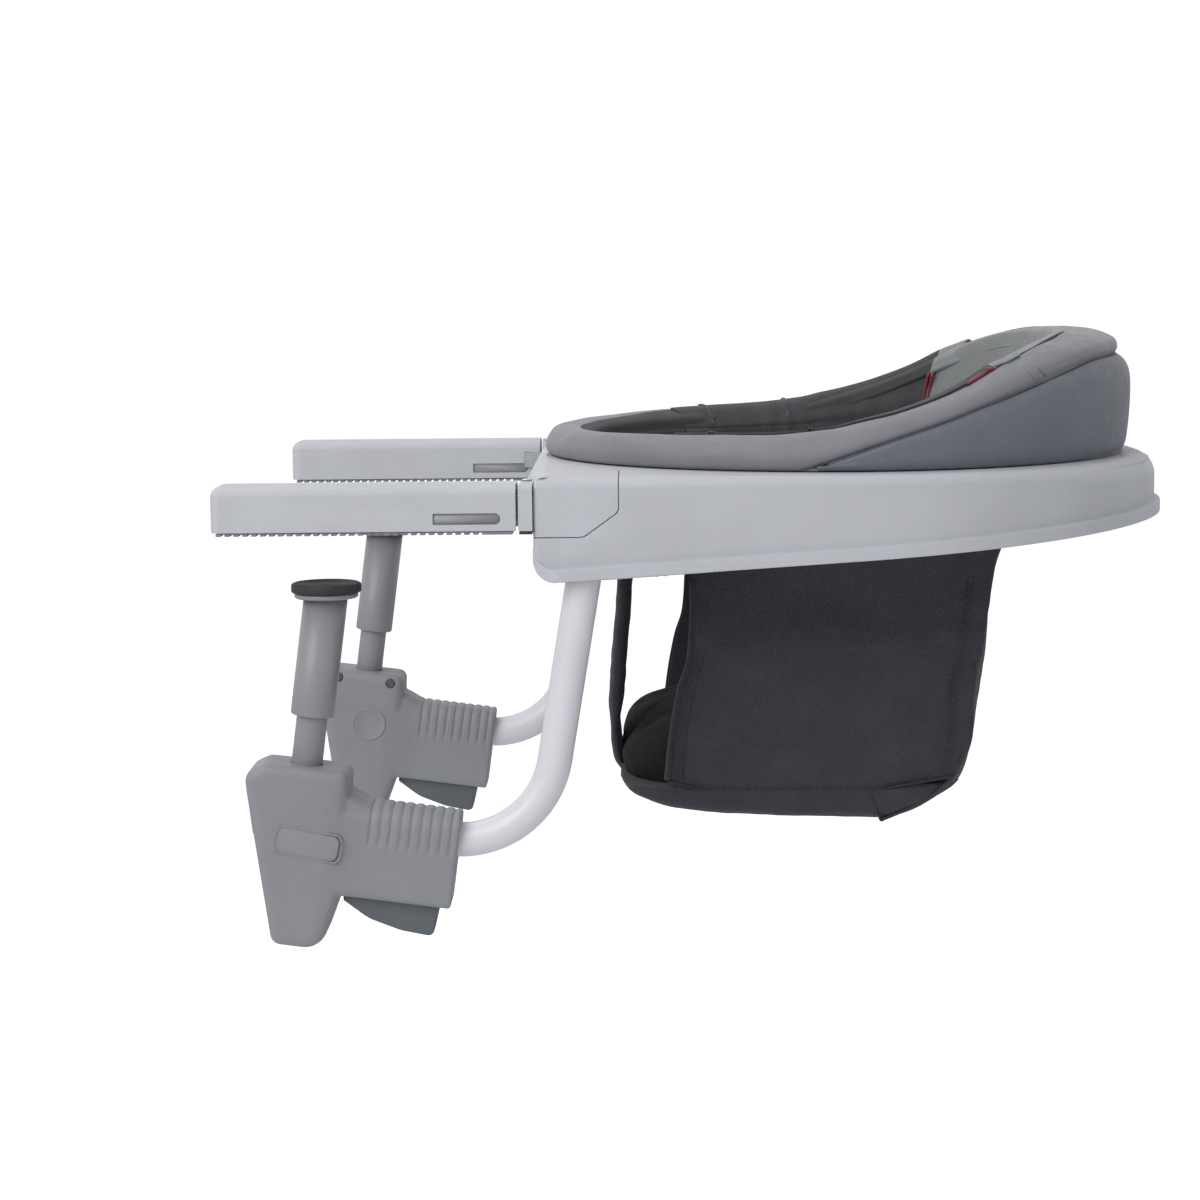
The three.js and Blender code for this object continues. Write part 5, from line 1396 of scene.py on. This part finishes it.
def bag_rear_row(t):
    """One row of the bag's back, from its top at 0 to the tail of the bottom fold at 1."""
    row = []
    for share in spread(-1, 1, 64):
        side = abs(share) ** 3.2
        x, z = (mix(column_at(REAR_MIDDLE, k, t), column_at(REAR_EDGE, k, t), side) for k in (1, 2))
        if t == 0:
            angle = math.atan2(share * 127, BACK_FLAT)
            x = SEAT_X + min(BACK_FLAT, 165.0 * math.cos(angle))
        y = share * mix(127.2, 128.4, ease(t, 0.0, 0.1))
        wave = wobble((x * 0.4, y, z), 36, 11.0) * 2.2 + wobble((x, y, z), 12, 6.0) * 0.5
        wave *= ease(t, 0.02, 0.2) * (1 - ease(abs(share), 0.9, 1.0))
        under = ease(t, 0.7, 0.9)
        row.append(Vector((x + wave * (1 - under), y, z + wave * under * 0.6)))
    return row


def make_bag_back():
    back = thicken(grid("bag_rear", [bag_rear_row(t) for t in spread(0, 1, 84)]), 1.5, 0.0)
    dress(back, "seat", CLOTH, "black_cloth", "bag_back")


def make_bag_floor():
    rows = []
    for x in spread(51.2, 275.8, 110):
        half, low = table_at(FLOOR_HALF, x), table_at(FLOOR_LOW, x)
        deep = FLOOR_TOP - low
        side = vectors((
            (half - 5, FLOOR_TOP), (half, FLOOR_TOP - deep * 0.12),
            (half + 0.4, FLOOR_TOP - deep * 0.45), (half - 1.2, FLOOR_TOP - deep * 0.75),
            (half - 6, low + deep * 0.08), (half - 15, low), (half * 0.6, low + 0.8),
            (half * 0.25, low + 0.2),
        ))
        row = []
        for p in through(side + [Vector((-p.x, p.y)) for p in reversed(side)], 4):
            wave = wobble((x, p.x, p.y * 2), 26, 13.0) * 1.3 + wobble((x, p.x, p.y), 9, 2.0) * 0.4
            wave *= limit((FLOOR_TOP - p.y) / 5) * limit((x - 51) / 8) * limit((276 - x) / 8)
            out = 0.6 * wave if abs(p.x) > half - 8 else 0
            row.append(Vector((x, p.x + out, p.y + wave * 0.7)))
        rows.append(row)
    floor = grid("bag_base", rows, wrap_columns=True, caps=True)
    dress(floor, "seat", CLOTH, "black_cloth", "bag_floor")


def make_apron():
    rows = []
    for share in spread(0, 1, 22):
        row = []
        for angle in spread(APRON_START, 2 * math.pi - APRON_START, 120):
            from_front = angle - math.pi
            pull = 17 * max(0, 1 - (from_front / math.radians(30)) ** 2)
            gather = math.sin(angle * 46) * 1.5 + math.sin(angle * 71 + 2) * 0.8
            gather *= max(0, 1 - (from_front / math.radians(36)) ** 2)
            sag = (pull + gather) * ease(share) + 1.6 * math.sin(math.pi * share)
            row.append(polar(LINING_RADIUS + 0.2 - sag, angle, mix(42.3, -10.0, share)))
        rows.append(row)
    apron = thicken(grid("front_lining", rows), 1.6, 0.0)
    dress(apron, "seat", LINING, "lining_cloth", "front_apron")


def make_strap():
    rows = []
    for z in spread(STRAP_TOP, STRAP_END, 84):
        fuller = 1.9 * ease(-z, 12, 36) * (1 - ease(-z, 132, 152))
        centre = table_at(STRAP, -z) + 4.6 + fuller
        thick = 3.4 + fuller + 0.35 * wobble((z, 0, 0), 9, 4.0)
        half = mix(36.5, 39.0, ease(-z, 120, 175))
        row = []
        for c, s in circle(44):
            y = half * math.copysign(abs(s) ** 0.32, s)
            x = thick * math.copysign(abs(c) ** 0.75, c)
            row.append(Vector((centre + x + wobble((0, y, z), 16, 8.0) * 0.6, y, z)))
        rows.append(row)
    strap = grid("crotch_strap", rows, wrap_columns=True, caps=True)
    dress(strap, "seat", CLOTH, "black_cloth", "crotch_panel")


def make_cushion():
    """The seat cushion, swollen by a short cloth simulation from a slightly smaller form."""
    outline = rectangle(52.0, 264.0, -123.0, 123.0, [58, 16, 16, 58], 8)
    cushion = stack("seat_pad", outline, CUSHION, "z")
    swell(cushion, voxel=6.0, cap=5.0)
    for vertex in cushion.data.vertices:
        x, y, z = vertex.co / MM
        top = ease(z, -160, -142)
        lift = wobble((x, y, 0), 34, 2.0) * 1.6 + wobble((x, y, 0), 11, 5.0) * 0.4
        front = (1 - ease(x, 52, 66)) * (1 - top)
        push = front * math.sin(z / 2.6 + wobble((y, z, 0), 30) * 2) * 0.5
        vertex.co = MM * Vector((
            max(x + push, CUSHION_FRONT), limit(y, -CUSHION_SIDE, CUSHION_SIDE),
            max(z + top * lift, CUSHION_FLOOR),
        ))
    # Its cloth is painted darker as the shade that falls inside the bag
    dress(cushion, "seat", CUSHION_SHADE_CLOTH, "black_cloth", "seat_cushion")


def swell(obj, voxel, cap):
    """Inflates a closed form with a capped cloth simulation, and keeps the result as its mesh."""
    modify(obj, "REMESH", mode="VOXEL", voxel_size=voxel * MM)
    settle(obj)
    rest = [v.co.copy() for v in obj.data.vertices]
    pins = obj.vertex_groups.new(name="pins")
    low = min(v.z for v in rest)
    pins.add([i for i, v in enumerate(rest) if v.z < low + 4 * MM], 1.0, "REPLACE")
    settings = modify(obj, "CLOTH").settings
    settings.use_pressure = True
    settings.uniform_pressure_force = 4.0
    settings.vertex_group_mass = "pins"
    settings.effector_weights.gravity = 0.0
    settings.quality = 5
    scene = bpy.context.scene
    for step in range(1, 21):
        scene.frame_set(step)
    settle(obj)
    scene.frame_set(1)
    for vertex, start in zip(obj.data.vertices, rest):
        move = vertex.co - start
        if move.length > cap * MM:
            vertex.co = start + move * (cap * MM / move.length)
        vertex.co.z = max(vertex.co.z, CUSHION_FLOOR * MM)
    subdivide(obj)
    obj.data.shade_smooth()


# Trim of the seat
def on_wall(x, z, out):
    """A point on the outside of the right bag wall."""
    x0, x1 = table_at(BAG_FRONT, z), table_at(BAG_BACK, z)
    return Vector((x, wall_y(limit((x - x0) / (x1 - x0)), z) + out, z))


def trim(base_name, objects, paint, slot):
    """Dresses seat trim made for the right side and its mirrored twin."""
    both_sides(joined(base_name + "_right", objects), base_name, "seat", paint, slot)


def make_seams():
    front = [on_wall(table_at(BAG_FRONT, z) + 0.6, z, 0.4) for z in spread(-40, -172, 60)]
    low = [on_wall(x, table_at(BAG_SEAM, x), 0.6) for x in spread(82.5, 270, 90)]
    tail = [
        Vector((mix(214.5, 222.3, s), 130.2 - 1.6 * s * s, mix(-181, -200.5, s)))
        for s in spread(0, 1, 14)
    ]
    binding = [
        sweep("front", front, 2.1, 10, 0.75),
        sweep("front_fold", [p + Vector((9.5, 0.1, 0)) for p in front], 0.55, 8),
        sweep("low", low, 0.75, 8), sweep("tail", tail, 0.7, 8),
    ]
    trim("bag_binding", binding, BINDING, "black_cloth")
    rear = [on_wall(table_at(BAG_BACK, z) - 16.0, z, 2.3) for z in spread(-20, -168, 80)]
    lines = []
    for path, shift, size in (
        (rear, (0, 0, 0), (4.4, 2.8, 0.5)), (rear, (3.2, 0, 0), (4.4, 2.8, 0.5)),
        (front, (5.5, 0.5, 0), (4.0, 2.4, 0.3)), (low, (0, 0.7, 3.2), (4.0, 2.4, 0.3)),
    ):
        lines.append(stitches([p + Vector(shift) for p in path], *size))
    trim("bag_stitching", lines, GAP_SHADE_AND_DARK_THREAD, "black_cloth")


def make_piping():
    """Two fine red cords beside each other on the lining, next to the backrest cushion."""
    cords = []
    for shift in (-0.011, 0.011):
        path = []
        for share in spread(-0.15, 1.0, 30):
            height = mix(PAD_SEAT, crest_at(PIPE_ANGLE) - 10, share)
            angle = piping_at(height) + shift
            radius = mix(LINING_RADIUS, rim_inner_at(angle) - 1.5, limit(share)) - 2.2
            path.append(polar(radius, angle, height))
        section = through(rim_section(piping_at(200.0))[6:10], 12)
        for p in reversed(section[11:24:3]):
            path.append(polar(p.x - 0.6, piping_at(p.y) + shift, p.y + 0.5))
        cords.append(sweep("cord", through(path, 2), 1.15, 10))
    trim("lining_piping", cords, PIPING, "rim_leather")


def lining_point(angle, height, out):
    share = limit((height - PAD_SEAT) / (crest_at(angle) - LINING_DROP - PAD_SEAT))
    radius = mix(LINING_RADIUS, rim_inner_at(angle) - 1.5, share)
    return polar(radius - out - lining_folds(angle, height), angle, height)


def make_lining_trim():
    """Two tapes over seams of the lining, up and over the rim's crest."""
    tapes = []
    for degrees, half in ((119.4, 1.5), (98.6, 1.7)):
        rows = []
        offsets = [
            (abs(k) < half, math.radians(degrees + k * 57.3 / LINING_RADIUS))
            for k in spread(-half, half, 4)
        ]
        for height in spread(8, crest_at(math.radians(degrees)) - LINING_DROP - 0.5, 26):
            rows.append([lining_point(a, height, 1.1 if inner else 0.3) for inner, a in offsets])
        for i in (34, 32, 30, 28):
            row = []
            for inner, angle in offsets:
                p, lift = rim_line(angle)[i], 3.2 if inner else 1.9
                row.append(polar(p.x - lift, angle, p.y + lift * 0.8))
            rows.append(row)
        tapes.append(thicken(grid("tape", rows), 0.7, -1.0))
    trim("lining_tape", tapes, THREAD, "lining_cloth")


def make_rim_marks():
    """The tucks and the seam line of the padded rim."""
    tucks = []
    for side in (1, -1):
        for degrees in (53.2, 50.4):
            path = []
            for share in spread(0.0, 1.0, 14):
                angle = math.radians(degrees + 2.0 * share) * side
                p = through(rim_section(angle)[3:7], 8)[int(mix(3, 16, share))]
                path.append(polar(p.x + 0.25, angle, p.y))
            tucks.append(sweep("tuck", path, 0.38, 8))
    dress(joined("rim_tucks", tucks), "seat", SIDE_LEATHER, "rim_leather")
    seam = []
    for angle in spread(math.radians(-95), math.radians(95), 300):
        section = rim_section(angle)
        height = max(seam_at(angle), RIM_SKIRT + 0.4) - 0.5
        seam.append(polar(mix(section[2].x, section[3].x, 0.5) - 1.0, angle, height))
    dress(sweep("rim_seam", seam, 0.75, 8), "seat", SIDE_LEATHER, "side_leather")


def swelling(share, low=0.0, high=1.0):
    """The radius of a painted shade strip or a tab at a share of its length, full in the middle."""
    return 0.4 + 1.1 * math.sin(math.pi * limit(share, low, high))


def make_slits():
    """A dark strip of painted shade along the gap on each side of the backrest's top, and a small
    red tab.
    """
    gap_shades, tabs = [], []
    for side in (1, -1):
        path = []
        for angle in spread(math.radians(66.5), math.radians(22), 60):
            p = through(rim_section(angle)[6:10], 10)[10]
            deep = math.sin(math.pi * limit((47 - math.degrees(angle)) / 25))
            path.append(polar(p.x + 0.2, angle * side, p.y + 0.1 - 0.7 * deep))
        gap_shades.append(sweep("slot", path, lambda s: swelling((s - 0.44) / 0.56), 10))
        path = []
        for share in spread(0, 1, 12):
            angle = math.radians(mix(66.0, 60.0, share))
            p = through(rim_section(angle)[6:10], 10)[12]
            path.append(polar(p.x - 0.2, angle * side, p.y + 0.9))
        tabs.append(sweep("tab", path, lambda s: swelling(s ** 0.7, 0.05, 0.95), 10))
    # The strips are painted shade for the gaps between the backrest and the rim
    dress(joined("backrest_gap_shade", gap_shades), "seat", GAP_SHADE_AND_DARK_THREAD, "pad_leather")
    dress(joined("backrest_tabs", tabs), "seat", PIPING, "rim_leather")


# The clamp screws take the steel that is painted dark as the shade of their holes
FINISHES = {
    "under_cover": PALE, "arm_bracket": PALE, "swivel_lock_catch": GREY, "seat_ring": GREY,
    "arm_grip": GREY_RUBBER, "edge_bumper": RUBBER, "hinge_block": CAST, "frame_hoop": STEEL,
    "arm_bar": STEEL, "arm_fold_pin": STEEL, "clamp_screw": SCREW_SHADE_STEEL, "clamp_spring": STEEL,
    "brake_plate": STEEL, "drive_plate": STEEL, "lever_pin": STEEL,
}


def dress_nodes():
    """Materials and softer edges for the CAD nodes that stay as they are."""
    for name, node in NODES.items():
        if node.hide_render:
            continue
        paint = next((p for start, p in FINISHES.items() if name.startswith(start)), GREY)
        node.data.materials.clear()
        node.data.materials.append(paint)
        modify(node, "WELD", merge_threshold=0.002 * MM)
        if not name.startswith("clamp_spring"):
            modify(node, "DECIMATE", decimate_type="DISSOLVE", angle_limit=FLAT)
            soften(node, 0.3, 40)


# Stage, in metres, watts and degrees
FLOOR_SIZE, FLOOR_HEIGHT = 30.0, -0.742
CAMERA_AT, CAMERA_LENS = (0.0722, -1.9738, 0.1745), 85.53
CAMERA_TURNS = (7.02, 1.02, -0.61)
LAMP_AIM = Vector((0.1, 0, 0))
LAMPS = [
    ("key", (-1.5, -2.2, 1.5), 2.0, 46), ("fill", (1.8, -1.7, 0.7), 2.0, 4),
    ("top", (-0.9, 0.3, 2.3), 2.2, 20),
]


def make_floor():
    size, low = FLOOR_SIZE, FLOOR_HEIGHT
    mesh = bpy.data.meshes.new("floor")
    corners = [(-size, -size, low), (size, -size, low), (size, size, low), (-size, size, low)]
    mesh.from_pydata(corners, [], [(0, 1, 2, 3)])
    floor = place("floor", mesh)
    paint = bpy.data.materials.new("floor")
    paint.use_nodes = True
    tree = Nodes(paint.node_tree)
    shader = tree.nodes["Principled BSDF"]
    tree.fill(shader, {"Base Color": (0.86, 0.86, 0.86, 1), "Roughness": 0.9})
    seen = tree.add("LightPath").outputs["Is Camera Ray"]
    glow = tree.add("Emission", Strength=tree.math("MULTIPLY", seen, 0.62))
    surface = tree.join("AddShader", shader.outputs[0], glow.outputs[0])
    tree.put(tree.nodes["Material Output"].inputs["Surface"], surface)
    mesh.materials.append(paint)
    floor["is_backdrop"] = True


def make_world():
    """White where it is seen or mirrored, and a dimmer, slightly cool light elsewhere."""
    world = bpy.data.worlds.new("studio")
    bpy.context.scene.world = world
    world.use_nodes = True
    tree = Nodes(world.node_tree)
    tree.nodes.clear()
    seen = tree.add("Background", Color=(1, 1, 1, 1), Strength=1.0)
    ambient = tree.add("Background", Color=(0.93, 0.96, 1.0, 1), Strength=0.46)
    path = tree.add("LightPath").outputs
    rays = path["Is Camera Ray"]
    for other in ("Is Glossy Ray", "Is Transmission Ray"):
        rays = tree.math("MAXIMUM", rays, path[other])
    surface = tree.join("MixShader", rays, ambient.outputs[0], seen.outputs[0])
    tree.add("OutputWorld", Surface=surface)


def make_lamp(name, place_at, size, power):
    light = bpy.data.lights.new(name, "AREA")
    light.shape = "SQUARE"
    light.size = size
    light.energy = power
    lamp = place(name, light)
    lamp.location = place_at
    lamp.rotation_mode = "QUATERNION"
    lamp.rotation_quaternion = (Vector(place_at) - LAMP_AIM).to_track_quat("Z", "Y")


def make_camera():
    """The camera of the photograph, by its pitch, yaw and roll."""
    data = bpy.data.cameras.new("camera")
    data.sensor_width = 36.0
    data.lens = CAMERA_LENS
    data.clip_start, data.clip_end = 0.05, 100.0
    camera = place("camera", data)
    pitch, yaw, roll = (math.radians(turn) for turn in CAMERA_TURNS)
    flat = Vector((-math.sin(yaw), math.cos(yaw), 0))
    forward = Vector((flat.x * math.cos(pitch), flat.y * math.cos(pitch), -math.sin(pitch)))
    right = Vector((math.cos(yaw), math.sin(yaw), 0))
    up = right.cross(forward)
    right, up = (
        right * math.cos(roll) + up * math.sin(roll),
        up * math.cos(roll) - right * math.sin(roll),
    )
    turn = Matrix((right, up, -forward)).transposed().to_4x4()
    camera.matrix_world = Matrix.Translation(Vector(CAMERA_AT)) @ turn
    bpy.context.scene.camera = camera


def write_sizes():
    boxes = {"cad": CAD_BOX, "visual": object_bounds()}
    {name: [list(low), list(high)] for name, (low, high) in boxes.items()}


def main():
    for make in (
        make_camera, make_base, make_cover_screws, make_arms, make_tubes, make_clamp_covers,
        make_clamp_details, make_lever, make_rods, make_rim, make_side_panel, make_back_pad,
        make_bag_sides, make_bag_back, make_bag_floor, make_apron, make_strap, make_cushion,
        make_seams, make_piping, make_lining_trim, make_rim_marks, make_slits, dress_nodes,
        make_floor, make_world,
    ):
        make()
    for lamp in LAMPS:
        make_lamp(*lamp)
    bpy.context.scene.view_settings.view_transform = "Standard"
    write_sizes()


main()
